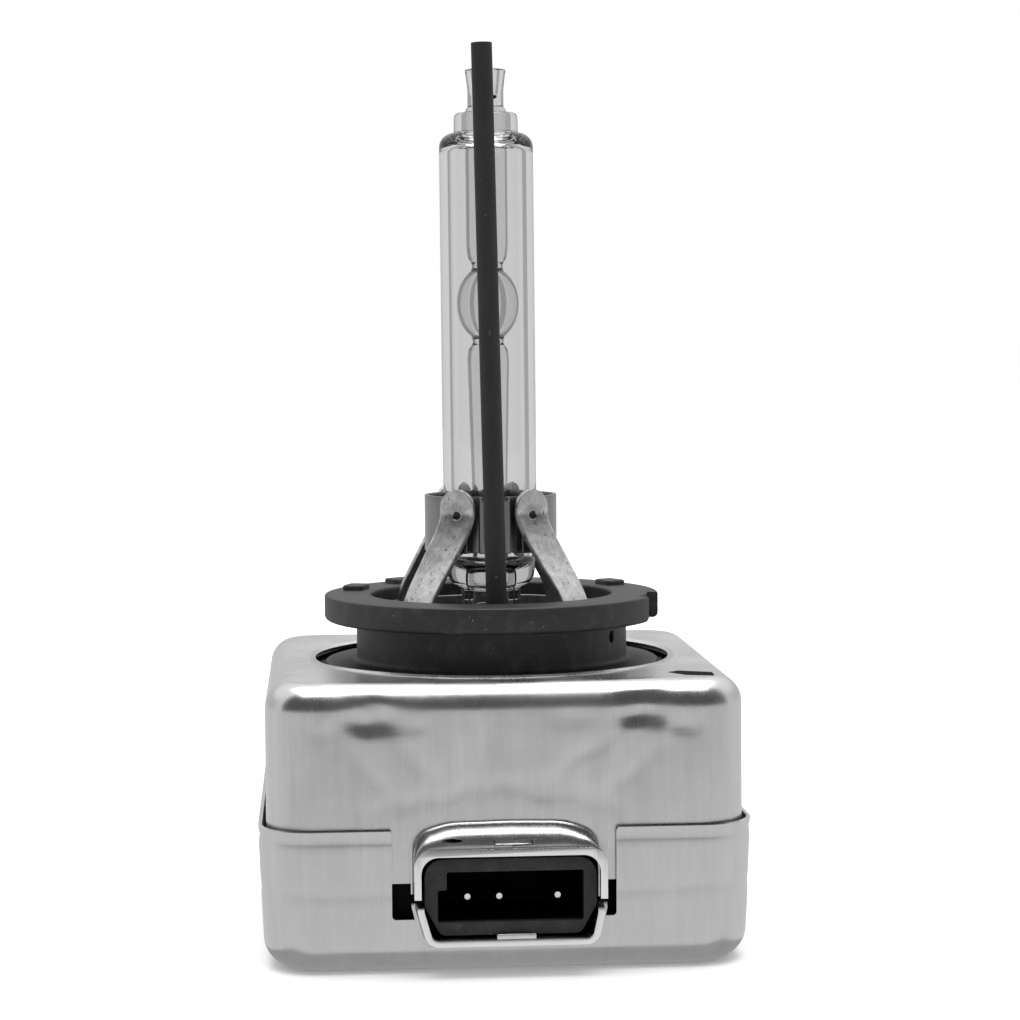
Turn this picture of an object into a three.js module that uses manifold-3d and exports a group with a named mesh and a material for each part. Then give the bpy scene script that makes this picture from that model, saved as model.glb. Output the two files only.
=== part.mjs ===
// Gas-discharge headlight bulb with the igniter built into its base.
// Units are millimetres, +Z is up. The origin lies on the bulb axis at the underside of the case,
// and the connector faces -Y.

import * as THREE from 'three';
import { mergeVertices } from 'three/addons/utils/BufferGeometryUtils.js';
import Module from 'manifold-3d';

const wasm = await Module();
wasm.setup();

// ---------------------------------------------------------------- driving dimensions

// Case: an upper shield over the top and a lower cover that overlaps it
const caseHalf = 21.54;
const caseHeight = 25.8;
const caseCorner = 4.6;
const shieldBend = 2.5;
const shieldSheet = 0.5;
const shieldSkirtZ = 8.1;
const coverRimZ = 12.9;
const coverSheet = 0.35;
const coverBend = 2.6;
const coverGap = 0.06;
const coverRimFlare = 0.28;
const coverFootTuck = 0.36;
const coverSteps = 3;
const cutGapLeft = 1.9;
const cutGapRight = 1.0;
const cutSillZ = 4.95;
const ventLength = 4.2;
const ventWidth = 1.5;
const ventSkew = 1.4;
const ventFromBend = 1.7;

// Connector frame and socket
const frameHalf = 8.5;
const frameWall = 0.62;
const frameProud = 2.66;
const frameTopZ = 11.5;
const hoodRootZ = 13.5;
const hoodEndZ = 7.0;
const hoodCorner = 2.8;
const rimDepth = 0.5;
const hoodSwell = 0.7;
const windowFromFront = 0.6;
const windowDepth = 0.6;
const windowBelowTop = 1.2;
const lipTopZ = 6.4;
const lipBottomZ = 2.9;
const lipInset = 1.2;
const lipCorner = 0.9;
const lipSideHeight = 0.5;
const lipBow = 0.3;
const socketGap = 0.3;
const socketSetback = 0.7;
const socketWall = 1.15;
const socketDepth = 8.8;
const socketCorner = 1.5;
const socketFootInset = 0.2;
const keyWidth = 0.8;
const keyHeight = 1.6;
const tongueHalf = 1.65;
const tongueHeight = 0.45;
const tongueFromFront = 0.1;
const tongueThickness = 0.3;
const pinRadius = 0.45;
const pinStations = [-3.6, -0.75, 4.5];
const pinProud = 4.6;
const pinGap = 0.1;
const pinBelowMiddle = 0.85;
const pinTipRadius = 0.25;
const pinTipLength = 0.5;
const pinTailHalf = 0.34;
const pinTailBehind = 1.2;

// Igniter housing
const housingGap = 0.44;
const lidGap = 0.4;
const housingWall = 1.2;
const housingFloorZ = 0.9;
const fillHoleRadius = 2.5;
const partingGap = 0.1;
const housingCorner = 3.6;
const housingEdge = 1.7;
const cavityCorner = 2.4;
const cavityEdge = 0.8;

// Lamp cap
const lidThickness = 3.0;
const discRadius = 16.0;
const discGap = 0.9;
const discBelowTop = 0.3;
const neckWall = 1.45;
const neckFillet = 0.6;
const ringRadius = 16.0;
const ringThickness = 2.44;
const ringTopAboveCase = 6.0;
const ringEdge = 0.5;
const capBoreDepth = 5.3;
const notchDepth = 1.0;
const notchFrom = -26;
const notchTo = -8;
const bossHeight = 0.5;
const bossHalf = 1.3;
const bossFromBore = 2.1;
const bossAngles = [27, 128, 161];
const sightHoleRadius = 0.5;
const sightHoleAngle = -33.4;
const sightHoleAboveFloor = 1.6;
const footHoleRadius = 4.0;
const wireHoleGap = 0.5;
const spigotDepth = 0.9;
const spigotWall = 1.0;
const spigotGap = 0.2;
const lidEdge = 1.6;
const ringTopEdge = 0.15;

// Weld sleeve and support legs
const sleeveGap = 0.12;
const sleeveWall = 0.3;
const sleeveHeight = 3.9;
const sleeveAboveFloor = 0.1;
const legWidth = 3.55;
const legThickness = 0.4;
const legTopAngle = 31.5;
const legFootAngle = 44;
const legTopAboveClamp = 0.75;
const legBendBelowHead = 1.25;
const legRimDrop = 0.4;
const legBendLength = 0.6;
const legAboveFloor = 0.6;
const legClampGap = 0.06;
const legSleeveGap = 0.22;

// Burner
const lightCentreLength = 27.1;
const bulbRadius = 4.475;
const bulbWall = 1.0;
const bulbFootRadius = 2.85;
const bulbFootLength = 5.0;
const bulbDomeRadius = 1.9;
const bulbDomeRise = 2.4;
const bulbFootRise = 0.2;
const bulbBelowLight = 27.5;
const bulbAboveLight = 16.2;
const bulbShoulderEdge = 1.45;
const bulbTopCollarRadius = 3.05;
const bulbTopCollarHeight = 1.9;
const clampWall = 0.35;
const clampStandOff = 1.855;
const clampHeight = 5.3;
const clampBelowLight = 18.15;
const clampFluteDepth = 1.0;
const clampFluteAngle = 19;
const clampFluteHalf = 5;
const chamberRadius = 2.97;
const chamberHalf = 3.33;
const chamberBoreRadius = 1.35;
const chamberBoreHalf = 2.9;
const tubeLegRadius = 2.0;
const tubeWaistRadius = 1.45;
const tubeFootRadius = 1.7;
const tailRadius = 1.72;
const tailFlare = 0.23;
const tailLength = 4.1;
const sealGap = 0.08;
const arcGap = 4.2;
const electrodeRadius = 0.15;
const foilWidth = 1.5;
const foilThickness = 0.1;
const foilLength = 6.5;
const foilFromLight = 6.2;
const leadRadius = 0.25;
const wireGap = 0.12;

// Return lead
const rodRadius = 0.97;
const rodBoreRadius = 0.52;
const rodFromClamp = 1.7;
const rodFromBore = 1.53;
const rodTopAboveLight = 23.75;
const rodLeanX = 1.12;
const returnWireRadius = 0.28;
const rodNotchDepth = 0.95;
const rodNotchHalf = 0.4;
const rodAboveFloor = 0.3;
const wireBendBelowTop = 0.55;
const wireBelowLid = 1.8;

// Igniter parts
const resinDepth = 1.0;
const carrierThickness = 0.8;
const carrierGap = 0.1;
const transformerY = 6.5;
const transformerZ = 12.6;
const transformerEndGap = 3.9;
const coreRadius = 2.5;
const coreGap = 0.12;
const bobbinRadius = 3.2;
const flangeRadius = 6.8;
const flangeThickness = 0.8;
const windingRadius = 6.0;
const primaryRadius = 5.2;
const windingCount = 4;
const gapBodyRadius = 3.6;
const gapBodyLength = 5.4;
const gapCapThickness = 0.9;
const gapFromWall = 5.8;
const gapY = -6.4;
const capacitorSize = [9.4, 6.2, 11.0];
const capacitorFromWall = 6.4;
const capacitorY = -7.4;
const resistorRadius = 1.2;
const resistorLength = 6.2;
const resistorFromWall = 3.3;
const resistorX = -11.5;
const busbarThickness = 0.5;
const busbarWidth = 1.8;
const terminalRadius = 1.5;
const terminalBelowBulb = 0.3;
const terminalDepth = 1.6;
const terminalFloor = 0.3;
const strapHalf = 1.2;
const strapThickness = 0.5;
const returnPlateHalf = 1.0;
const returnFootLength = 2.6;

// How far a cutting tool runs past the face it cuts
const past = 1;

// ---------------------------------------------------------------- derived levels

const ringTopZ = caseHeight + ringTopAboveCase;
const lightZ = ringTopZ + bossHeight + lightCentreLength;
const clampRadius = bulbRadius + clampStandOff;
const rodOffsetY = -(clampRadius + rodFromClamp + rodRadius);
const capBoreRadius = rodRadius + rodFromBore - rodOffsetY;
const neckRadius = capBoreRadius + neckWall;
const bossPitchRadius = capBoreRadius + bossFromBore;
const lidTopZ = caseHeight - shieldSheet - lidGap;
const lidFloorZ = lidTopZ - lidThickness;
const capFloorZ = ringTopZ - capBoreDepth;
const housingHalf = caseHalf - shieldSheet - housingGap;
const housingInner = housingHalf - housingWall;
const cavityFloorZ = housingFloorZ + housingWall;
const coverFootHalf = caseHalf + coverGap + coverSheet - coverFootTuck;
const coverRimHalf = caseHalf + coverGap + coverSheet + coverRimFlare;
const shieldOpening = discRadius + discGap;
const frameFrontY = -(caseHalf + frameProud);
const cutLeft = frameHalf + cutGapLeft;
const cutRight = frameHalf + cutGapRight;
const lipBottomHalf = frameHalf - lipInset;
const socketHalf = frameHalf - frameWall - socketGap;
const socketFrontY = frameFrontY + socketSetback;
const socketBackY = socketFrontY + socketDepth;
const socketTopZ = frameTopZ - frameWall - socketGap;
const socketBottomZ = lipBottomZ + frameWall + socketGap;
const pinZ = (socketTopZ + socketBottomZ) / 2 - pinBelowMiddle;
const pinTipY = socketBackY - pinProud;
const carrierZ = cavityFloorZ + resinDepth + carrierGap;
const busbarZ = carrierZ + carrierThickness + carrierGap;
const clampZ = lightZ - clampBelowLight - clampHeight;
const bulbFootZ = lightZ - bulbBelowLight;
const bulbShoulderZ = lightZ + bulbAboveLight;
const bulbTopZ = bulbShoulderZ + bulbTopCollarHeight;
const tailTopZ = bulbTopZ + tailLength;
const sleeveRadius = capBoreRadius - sleeveGap;
const transformerHalf = housingInner - transformerEndGap;
const gapCentre = [gapFromWall - housingInner, gapY];
const capacitorCentre = [housingInner - capacitorFromWall, capacitorY];
const resistorCentre = [resistorX, housingInner - resistorFromWall];
const rodTopZ = lightZ + rodTopAboveLight;
const rodFloorZ = capFloorZ + rodAboveFloor;
const rodTilt = Math.atan2(rodLeanX, rodTopZ - rodFloorZ);

// ---------------------------------------------------------------- materials

function finish(color, roughness, metalness) {
  return new THREE.MeshStandardMaterial({ color, roughness, metalness });
}

const aluminium = finish(0xc9cacb, 0.32, 1);
const moulding = finish(0x2b2b2d, 0.75, 0);
const steel = finish(0x9a9b9c, 0.38, 1);
const darkSteel = finish(0x6f7072, 0.45, 1);
const glass = finish(0xe9edf0, 0.05, 0);
const ceramic = finish(0x3a3a3b, 0.85, 0);
const tungsten = finish(0x77787c, 0.4, 1);
const contactMetal = finish(0xd8d5c8, 0.25, 1);
const copper = finish(0xb36a3c, 0.35, 1);
const ferrite = finish(0x232326, 0.6, 0);
const film = finish(0x8c2f22, 0.45, 0);
const resin = finish(0x4a4238, 0.5, 0);
const tan = finish(0xb9a98a, 0.6, 0);

// ---------------------------------------------------------------- solid helpers

function toSolid(geometry) {
  const bare = geometry.index ? geometry.toNonIndexed() : geometry.clone();
  bare.deleteAttribute('normal');
  bare.deleteAttribute('uv');
  const merged = mergeVertices(bare, 1e-4);
  const corners = merged.index.array;
  const triVerts = [];
  for (let i = 0; i < corners.length; i += 3) {
    const [a, b, c] = corners.slice(i, i + 3);
    if (a !== b && b !== c && c !== a) triVerts.push(a, b, c);
  }
  return new wasm.Manifold(new wasm.Mesh({
    numProp: 3,
    vertProperties: Float32Array.from(merged.attributes.position.array),
    triVerts: Uint32Array.from(triVerts),
  }));
}

function toGeometry(solid) {
  const mesh = solid.getMesh();
  const geometry = new THREE.BufferGeometry();
  const positions = Float32Array.from(mesh.vertProperties);
  geometry.setAttribute('position', new THREE.BufferAttribute(positions, 3));
  geometry.setIndex(new THREE.BufferAttribute(Uint32Array.from(mesh.triVerts), 1));
  geometry.computeVertexNormals();
  return geometry;
}

function join(first, ...others) {
  return others.reduce((sum, next) => sum.add(next), first);
}

function cut(body, ...tools) {
  return tools.reduce((rest, tool) => rest.subtract(tool), body);
}

// An axis-aligned box between two corners
function brick(low, high) {
  const size = high.map((value, i) => value - low[i]);
  const geometry = new THREE.BoxGeometry(...size);
  geometry.translate(...low.map((value, i) => value + size[i] / 2));
  return toSolid(geometry);
}

function roundedRect(halfX, halfY, radius) {
  const shape = new THREE.Shape();
  shape.moveTo(halfX, halfY - radius);
  shape.absarc(halfX - radius, halfY - radius, radius, 0, Math.PI / 2);
  shape.absarc(radius - halfX, halfY - radius, radius, Math.PI / 2, Math.PI);
  shape.absarc(radius - halfX, radius - halfY, radius, Math.PI, 1.5 * Math.PI);
  shape.absarc(halfX - radius, radius - halfY, radius, 1.5 * Math.PI, 2 * Math.PI);
  return shape;
}

// A square block with rounded corners in plan and a rounded edge at the top and bottom
function softBlock(half, lowZ, highZ, corner, edge, { steps = 1, fineness = 4 } = {}) {
  const outline = roundedRect(half - edge, half - edge, corner - edge);
  const geometry = new THREE.ExtrudeGeometry(outline, {
    depth: highZ - lowZ - 2 * edge,
    bevelThickness: edge,
    bevelSize: edge,
    bevelSegments: fineness,
    curveSegments: fineness,
    steps,
  });
  geometry.translate(0, 0, lowZ + edge);
  return geometry;
}

// The rounded edges that the case hides need fewer facets
const hidden = { fineness: 2 };

// An outline in X and Y, extruded along Z
function slabZ(shape, lowZ, highZ, curveSegments = 8) {
  const geometry = new THREE.ExtrudeGeometry(shape, {
    depth: highZ - lowZ,
    bevelEnabled: false,
    curveSegments,
  });
  geometry.translate(0, 0, lowZ);
  return toSolid(geometry);
}

// An outline in X and Z, extruded along Y
function slabY(shape, lowY, highY, curveSegments = 6) {
  const geometry = new THREE.ExtrudeGeometry(shape, {
    depth: highY - lowY,
    bevelEnabled: false,
    curveSegments,
  });
  geometry.rotateX(Math.PI / 2);
  geometry.translate(0, highY, 0);
  return toSolid(geometry);
}

// An outline in Y and Z, extruded along X
function slabX(shape, lowX, highX, curveSegments = 6) {
  const geometry = new THREE.ExtrudeGeometry(shape, {
    depth: highX - lowX,
    bevelEnabled: false,
    curveSegments,
  });
  const axes = new THREE.Matrix4().makeBasis(
    new THREE.Vector3(0, 1, 0),
    new THREE.Vector3(0, 0, 1),
    new THREE.Vector3(1, 0, 0),
  );
  geometry.applyMatrix4(axes);
  geometry.translate(lowX, 0, 0);
  return toSolid(geometry);
}

// A body turned about Z. The profile is [radius, z] pairs from the bottom of the axis round the
// outside and back to the top of the axis, or a closed loop in the same sense.
function turned(profile, segments = 48) {
  const points = profile.map(([radius, z]) => new THREE.Vector2(radius, z));
  const geometry = new THREE.LatheGeometry(points, segments);
  geometry.rotateX(Math.PI / 2);
  return toSolid(geometry);
}

function rod(radius, lowZ, highZ, segments = 24) {
  return turned([[0, lowZ], [radius, lowZ], [radius, highZ], [0, highZ]], segments);
}

function tube(inner, outer, lowZ, highZ, segments = 48) {
  const profile = [[inner, lowZ], [outer, lowZ], [outer, highZ], [inner, highZ], [inner, lowZ]];
  return turned(profile, segments);
}

// Points of an arc in a profile, angles in degrees from the radial direction
function arc(centreR, centreZ, radius, from, to, count = 4) {
  const points = [];
  for (let i = 0; i <= count; i += 1) {
    const angle = THREE.MathUtils.degToRad(from + ((to - from) * i) / count);
    points.push([centreR + radius * Math.cos(angle), centreZ + radius * Math.sin(angle)]);
  }
  return points;
}

function polygon(points) {
  return new THREE.Shape(points.map(([x, y]) => new THREE.Vector2(x, y)));
}

// A round bar along a smooth line of points
function bent(points, radius, sides, steps) {
  const path = new THREE.CatmullRomCurve3(points.map((point) => new THREE.Vector3(...point)));
  const section = new THREE.Shape();
  section.absarc(0, 0, radius, 0, 2 * Math.PI);
  const options = { steps, curveSegments: sides / 2, extrudePath: path, bevelEnabled: false };
  return toSolid(new THREE.ExtrudeGeometry(section, options));
}

const object = new THREE.Group();

function addPart(name, solid, material, place = [0, 0, 0]) {
  const mesh = new THREE.Mesh(toGeometry(solid), material);
  mesh.name = name;
  mesh.position.set(...place);
  object.add(mesh);
  return mesh;
}

// ---------------------------------------------------------------- case

// The connector hood from the side: a sloping roof that runs out of the front wall
function hoodProfile(inset) {
  const shape = new THREE.Shape();
  const cutting = inset > 0;
  const frontY = cutting ? frameFrontY - past : frameFrontY;
  const rootY = cutting ? 3 * past - caseHalf : shieldSheet / 2 - caseHalf;
  const endZ = cutting ? hoodEndZ - past : hoodEndZ;
  const rimY = frameFrontY + rimDepth;
  shape.moveTo(frontY, endZ);
  shape.lineTo(frontY, frameTopZ - inset);
  shape.lineTo(rimY, frameTopZ - inset);
  shape.quadraticCurveTo(rimY + hoodSwell, hoodRootZ - inset, -caseHalf, hoodRootZ - inset);
  shape.lineTo(rootY, hoodRootZ - inset);
  shape.lineTo(rootY, endZ);
  shape.closePath();
  return shape;
}

// The connector hood from the front: straight sides and a rounded roof
function hoodOutline(inset) {
  const half = frameHalf - inset;
  const radius = hoodCorner - inset;
  const top = hoodRootZ - inset;
  const low = hoodEndZ - past;
  const shape = new THREE.Shape();
  shape.moveTo(-half, low);
  shape.lineTo(half, low);
  shape.lineTo(half, top - radius);
  shape.absarc(half - radius, top - radius, radius, 0, Math.PI / 2);
  shape.absarc(radius - half, top - radius, radius, Math.PI / 2, Math.PI);
  shape.closePath();
  return shape;
}

function hood(inset) {
  const reach = caseHalf;
  const across = slabX(hoodProfile(inset), -reach, reach);
  const along = slabY(hoodOutline(inset), frameFrontY - 2 * past, 4 * past - caseHalf);
  return across.intersect(along);
}

function upperShield() {
  const outer = toSolid(softBlock(caseHalf, 0, caseHeight, caseCorner, shieldBend));
  const inner = toSolid(softBlock(
    caseHalf - shieldSheet, -caseHeight, caseHeight - shieldSheet,
    caseCorner - shieldSheet, shieldBend - shieldSheet,
  ));
  const reach = 2 * caseHalf;
  const below = brick([-reach, -reach, -past], [reach, reach, shieldSkirtZ]);
  const opening = rod(shieldOpening, caseHeight - 2 * past, caseHeight + past, 64);
  const shell = cut(outer, inner, below, opening);
  const drawn = cut(join(shell, hood(0)), hood(frameWall));
  const ventX = caseHalf - shieldBend - ventLength;
  const ventY = shieldBend + ventFromBend - caseHalf;
  const vent = slabZ(polygon([
    [ventX, ventY + ventWidth + ventSkew], [ventX + ventLength, ventY + ventWidth],
    [ventX + ventLength, ventY - ventSkew], [ventX + ventSkew, ventY],
  ]), caseHeight - 2 * past, caseHeight + past);
  const windowY = frameFrontY + windowFromFront;
  const window = brick(
    [-tongueHalf, windowY, frameTopZ - windowBelowTop],
    [tongueHalf, windowY + windowDepth, hoodRootZ],
  );
  const tongueY = frameFrontY + tongueFromFront;
  const tongue = brick(
    [-tongueHalf, tongueY, frameTopZ - frameWall - tongueHeight],
    [tongueHalf, tongueY + tongueThickness, frameTopZ - frameWall / 2],
  );
  return join(cut(drawn, vent, window), tongue);
}

// The cover leans outwards from its foot to its rim
function flare(geometry, footHalf, rimHalf) {
  const position = geometry.attributes.position;
  for (let i = 0; i < position.count; i += 1) {
    const share = THREE.MathUtils.clamp(position.getZ(i) / coverRimZ, 0, 1);
    const scale = 1 + ((rimHalf - footHalf) / footHalf) * share ** 0.6;
    position.setX(i, position.getX(i) * scale);
    position.setY(i, position.getY(i) * scale);
  }
  return geometry;
}

// The lower half of the connector frame, seen from the front
function lipOutline(inset) {
  const low = lipBottomZ + inset;
  const foot = lipBottomHalf - inset;
  const shape = new THREE.Shape();
  shape.moveTo(inset - frameHalf, lipTopZ);
  shape.lineTo(inset - frameHalf, lipTopZ - lipSideHeight);
  shape.quadraticCurveTo(-foot - lipBow, low, lipCorner - foot, low);
  shape.lineTo(foot - lipCorner, low);
  shape.quadraticCurveTo(foot + lipBow, low, frameHalf - inset, lipTopZ - lipSideHeight);
  shape.lineTo(frameHalf - inset, lipTopZ);
  shape.closePath();
  return shape;
}

function lowerCover() {
  const height = coverRimZ + 2 * coverBend;
  const outer = toSolid(flare(
    softBlock(coverFootHalf, 0, height, caseCorner + 0.3, coverBend, { steps: coverSteps }),
    coverFootHalf, coverRimHalf,
  ));
  const inner = toSolid(flare(
    softBlock(
      coverFootHalf - coverSheet, coverSheet, height,
      caseCorner + 0.3 - coverSheet, coverBend - coverSheet, { steps: coverSteps },
    ),
    coverFootHalf - coverSheet, coverRimHalf - coverSheet,
  ));
  const reach = 2 * caseHalf;
  const above = brick([-reach, -reach, coverRimZ], [reach, reach, 2 * height]);
  const gate = brick([-cutLeft, -reach, cutSillZ], [cutRight, 4 * past - caseHalf, height]);
  const tray = cut(outer, inner, above, gate);
  const lip = slabY(lipOutline(0), frameFrontY, 0.2 - caseHalf);
  const throat = slabY(lipOutline(frameWall), frameFrontY - past, 3 * past - caseHalf);
  const tongueY = frameFrontY + tongueFromFront;
  const tongue = brick(
    [-tongueHalf, tongueY, lipBottomZ + frameWall / 2],
    [tongueHalf, tongueY + tongueThickness, lipBottomZ + frameWall + tongueHeight],
  );
  const overThroat = brick([frameWall - frameHalf, frameFrontY - past, lipTopZ - 0.01],
    [frameHalf - frameWall, 3 * past - caseHalf, coverRimZ]);
  return join(cut(join(tray, lip), throat, overThroat), tongue);
}

// ---------------------------------------------------------------- igniter housing and contacts

function socketOutline(inset) {
  const half = socketHalf - inset;
  const top = socketTopZ - inset;
  const low = socketBottomZ + inset;
  const foot = lipBottomHalf - frameWall - socketGap - socketFootInset - inset;
  const radius = socketCorner - inset;
  const shape = new THREE.Shape();
  shape.moveTo(-half, lipTopZ - inset / 2);
  shape.lineTo(-foot, low);
  shape.lineTo(foot, low);
  shape.lineTo(half, lipTopZ - inset / 2);
  shape.lineTo(half, top - radius);
  shape.absarc(half - radius, top - radius, radius, 0, Math.PI / 2);
  shape.absarc(radius - half, top - radius, radius, Math.PI / 2, Math.PI);
  shape.closePath();
  return shape;
}

function igniterHousing() {
  const outer = toSolid(softBlock(
    housingHalf, housingFloorZ, caseHeight, housingCorner, housingEdge, hidden,
  ));
  const inner = toSolid(softBlock(
    housingInner, cavityFloorZ, caseHeight + 4, cavityCorner, cavityEdge, hidden,
  ));
  const reach = 2 * caseHalf;
  const above = brick([-reach, -reach, lidFloorZ - partingGap], [reach, reach, 2 * caseHeight]);
  const box = cut(outer, inner, above);
  const body = slabY(socketOutline(0), socketFrontY, socketBackY + housingWall);
  const cavityHalf = socketHalf - socketWall;
  const low = socketBottomZ + socketWall;
  const high = socketTopZ - socketWall;
  const cavity = cut(
    brick([-cavityHalf, socketFrontY - past, low], [cavityHalf, socketBackY, high]),
    brick([-cavityHalf - past, socketFrontY - 2 * past, high - keyHeight],
      [keyWidth - cavityHalf, socketBackY + past, high + past]),
  );
  const holes = pinStations.map((x) => {
    const hole = rod(pinRadius + pinGap, -past / 2, housingWall + past / 2, 12);
    return hole.rotate([-90, 0, 0]).translate([x, socketBackY, pinZ]);
  });
  const fill = rod(fillHoleRadius, housingFloorZ - past, cavityFloorZ + past, 24);
  return cut(join(box, body), cavity, ...holes, fill);
}

// A turned contact with a chamfered tip and a flat tail that turns down to its busbar
function contactPin(x) {
  const tailY = socketBackY + housingWall + pinTailBehind;
  const length = tailY - pinTipY;
  const shank = turned([
    [0, 0], [pinTipRadius, 0], [pinRadius, pinTipLength], [pinRadius, length], [0, length],
  ], 12).rotate([-90, 0, 0]).translate([x, pinTipY, pinZ]);
  const tail = brick(
    [x - pinTailHalf, tailY - 3 * pinTailHalf, busbarZ + busbarThickness + 0.05],
    [x + pinTailHalf, tailY - pinTailHalf, pinZ],
  );
  return join(shank, tail);
}

// ---------------------------------------------------------------- lamp cap

function polar(radius, degrees) {
  const angle = THREE.MathUtils.degToRad(degrees);
  return [radius * Math.cos(angle), radius * Math.sin(angle)];
}

function lampCap() {
  const discTopZ = caseHeight - discBelowTop;
  const ringLowZ = ringTopZ - ringThickness;
  const stem = turned([
    [0, lidTopZ - 1], [discRadius, lidTopZ - 1], [discRadius, discTopZ],
    ...arc(neckRadius + neckFillet, discTopZ + neckFillet, neckFillet, 270, 180),
    [neckRadius, ringLowZ],
    ...arc(ringRadius - ringEdge, ringLowZ + ringEdge, ringEdge, 270, 360),
    [ringRadius, ringTopZ - ringTopEdge], [ringRadius - ringTopEdge, ringTopZ],
    [capBoreRadius, ringTopZ], [capBoreRadius, capFloorZ], [0, capFloorZ],
  ], 60);
  const lid = toSolid(softBlock(
    housingHalf, lidFloorZ - 4, lidTopZ, housingCorner, lidEdge, hidden,
  ));
  const reach = 2 * caseHalf;
  const underLid = brick([-reach, -reach, lidFloorZ - 5], [reach, reach, lidFloorZ]);
  const spigot = toSolid(softBlock(
    housingInner - spigotGap, lidFloorZ - spigotDepth, lidFloorZ + past, cavityCorner - spigotGap,
    0.4, hidden,
  ));
  const spigotInside = toSolid(softBlock(
    housingInner - spigotGap - spigotWall, lidFloorZ - 3, lidFloorZ, cavityCorner - spigotWall,
    0.2, hidden,
  ));
  const notchWedge = [[0, 0]];
  for (let i = 0; i <= 6; i += 1) {
    notchWedge.push(polar(ringRadius + 3, notchFrom + ((notchTo - notchFrom) * i) / 6));
  }
  const notch = cut(
    slabZ(polygon(notchWedge), ringLowZ - 0.5, ringTopZ + 1),
    rod(ringRadius - notchDepth, ringLowZ - 2, ringTopZ + 2, 60),
  );
  const sightHoleZ = capFloorZ + sightHoleAboveFloor;
  const sightHole = rod(sightHoleRadius, 0, neckWall + 2 * past, 12).rotate([0, 90, 0])
    .translate([capBoreRadius - past, 0, sightHoleZ]).rotate([0, 0, sightHoleAngle]);
  const footHole = rod(footHoleRadius, lidFloorZ - 2 * past, capFloorZ + past, 24);
  const wireHole = rod(returnWireRadius + wireHoleGap, lidFloorZ - 2 * past, capFloorZ + past, 16)
    .translate([0, rodOffsetY, 0]);
  const bosses = bossAngles.map((angle) => brick(
    [bossPitchRadius - 1, -bossHalf, ringTopZ - 0.5],
    [bossPitchRadius + 1, bossHalf, ringTopZ + bossHeight],
  ).rotate([0, 0, angle]));
  const lidWithSpigot = join(cut(lid, underLid), cut(spigot, spigotInside));
  const moulded = join(lidWithSpigot, stem, ...bosses);
  return cut(moulded, notch, sightHole, footHole, wireHole);
}

// ---------------------------------------------------------------- burner mount

function weldSleeve() {
  const low = capFloorZ + sleeveAboveFloor;
  return tube(sleeveRadius - sleeveWall, sleeveRadius, low, low + sleeveHeight, 60);
}

function clampOutline(radius) {
  const count = 72;
  const points = [];
  for (let i = 0; i < count; i += 1) {
    const degrees = (360 * i) / count;
    const fromFront = Math.min(Math.abs(degrees - 90), Math.abs(degrees - 270));
    const off = Math.abs(fromFront - clampFluteAngle);
    const depth = off < clampFluteHalf ? clampFluteDepth : 0;
    points.push(polar(radius - depth, degrees));
  }
  return polygon(points);
}

function burnerClamp() {
  const outside = slabZ(clampOutline(clampRadius), clampZ, clampZ + clampHeight);
  const inside = slabZ(
    clampOutline(clampRadius - clampWall), clampZ - past, clampZ + clampHeight + past,
  );
  return cut(outside, inside);
}

// One leg: a flat strip welded against the clamp, which swings outwards to the weld sleeve.
// sideX and sideY pick the quarter it stands in.
function supportLeg(sideX, sideY) {
  const topZ = clampZ + clampHeight + legTopAboveClamp;
  const headRadius = legWidth / 2;
  const startZ = topZ - headRadius;
  const rimZ = ringTopZ - legRimDrop;
  const footZ = capFloorZ + legAboveFloor;
  const topR = clampRadius + legThickness / 2 + legClampGap;
  const footR = sleeveRadius - sleeveWall - legThickness / 2 - legSleeveGap;
  const place = (radius, degrees, z) => {
    const [y, x] = polar(radius, degrees);
    return new THREE.Vector3(x, y, z);
  };
  const upperBend = place(topR, legTopAngle, startZ - legBendBelowHead);
  const lowerBend = place(footR, legFootAngle, rimZ);
  const centres = [
    place(topR, legTopAngle, startZ),
    place(topR, legTopAngle, startZ - legBendBelowHead + legBendLength),
    upperBend.clone().lerp(lowerBend, 0.1),
    upperBend.clone().lerp(lowerBend, 0.5),
    upperBend.clone().lerp(lowerBend, 0.9),
    place(footR, legFootAngle, rimZ - legBendLength),
    place(footR, legFootAngle, footZ),
  ];
  const line = new THREE.CatmullRomCurve3(centres, false, 'centripetal');
  const rows = 14;
  const strip = new THREE.BoxGeometry(legWidth, legThickness, 1, 1, 1, rows);
  const position = strip.attributes.position;
  for (let i = 0; i < position.count; i += 1) {
    const share = 0.5 - position.getZ(i);
    const centre = line.getPointAt(THREE.MathUtils.clamp(share, 0, 1));
    const turn = THREE.MathUtils.degToRad(
      legTopAngle + (legFootAngle - legTopAngle) * THREE.MathUtils.smoothstep(share, 0.2, 0.75),
    );
    const across = new THREE.Vector3(Math.cos(turn), -Math.sin(turn), 0);
    const outward = new THREE.Vector3(Math.sin(turn), Math.cos(turn), 0);
    const point = centre.addScaledVector(across, position.getX(i))
      .addScaledVector(outward, position.getY(i));
    position.setXYZ(i, point.x, point.y, point.z);
  }
  const head = rod(headRadius, -legThickness / 2, legThickness / 2, 20).rotate([90, 0, 0])
    .translate([0, topR, startZ]).rotate([0, 0, -legTopAngle]);
  let leg = join(toSolid(strip), head);
  if (sideX < 0) leg = leg.mirror([1, 0, 0]);
  if (sideY < 0) leg = leg.mirror([0, 1, 0]);
  return leg;
}

// ---------------------------------------------------------------- burner

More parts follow.
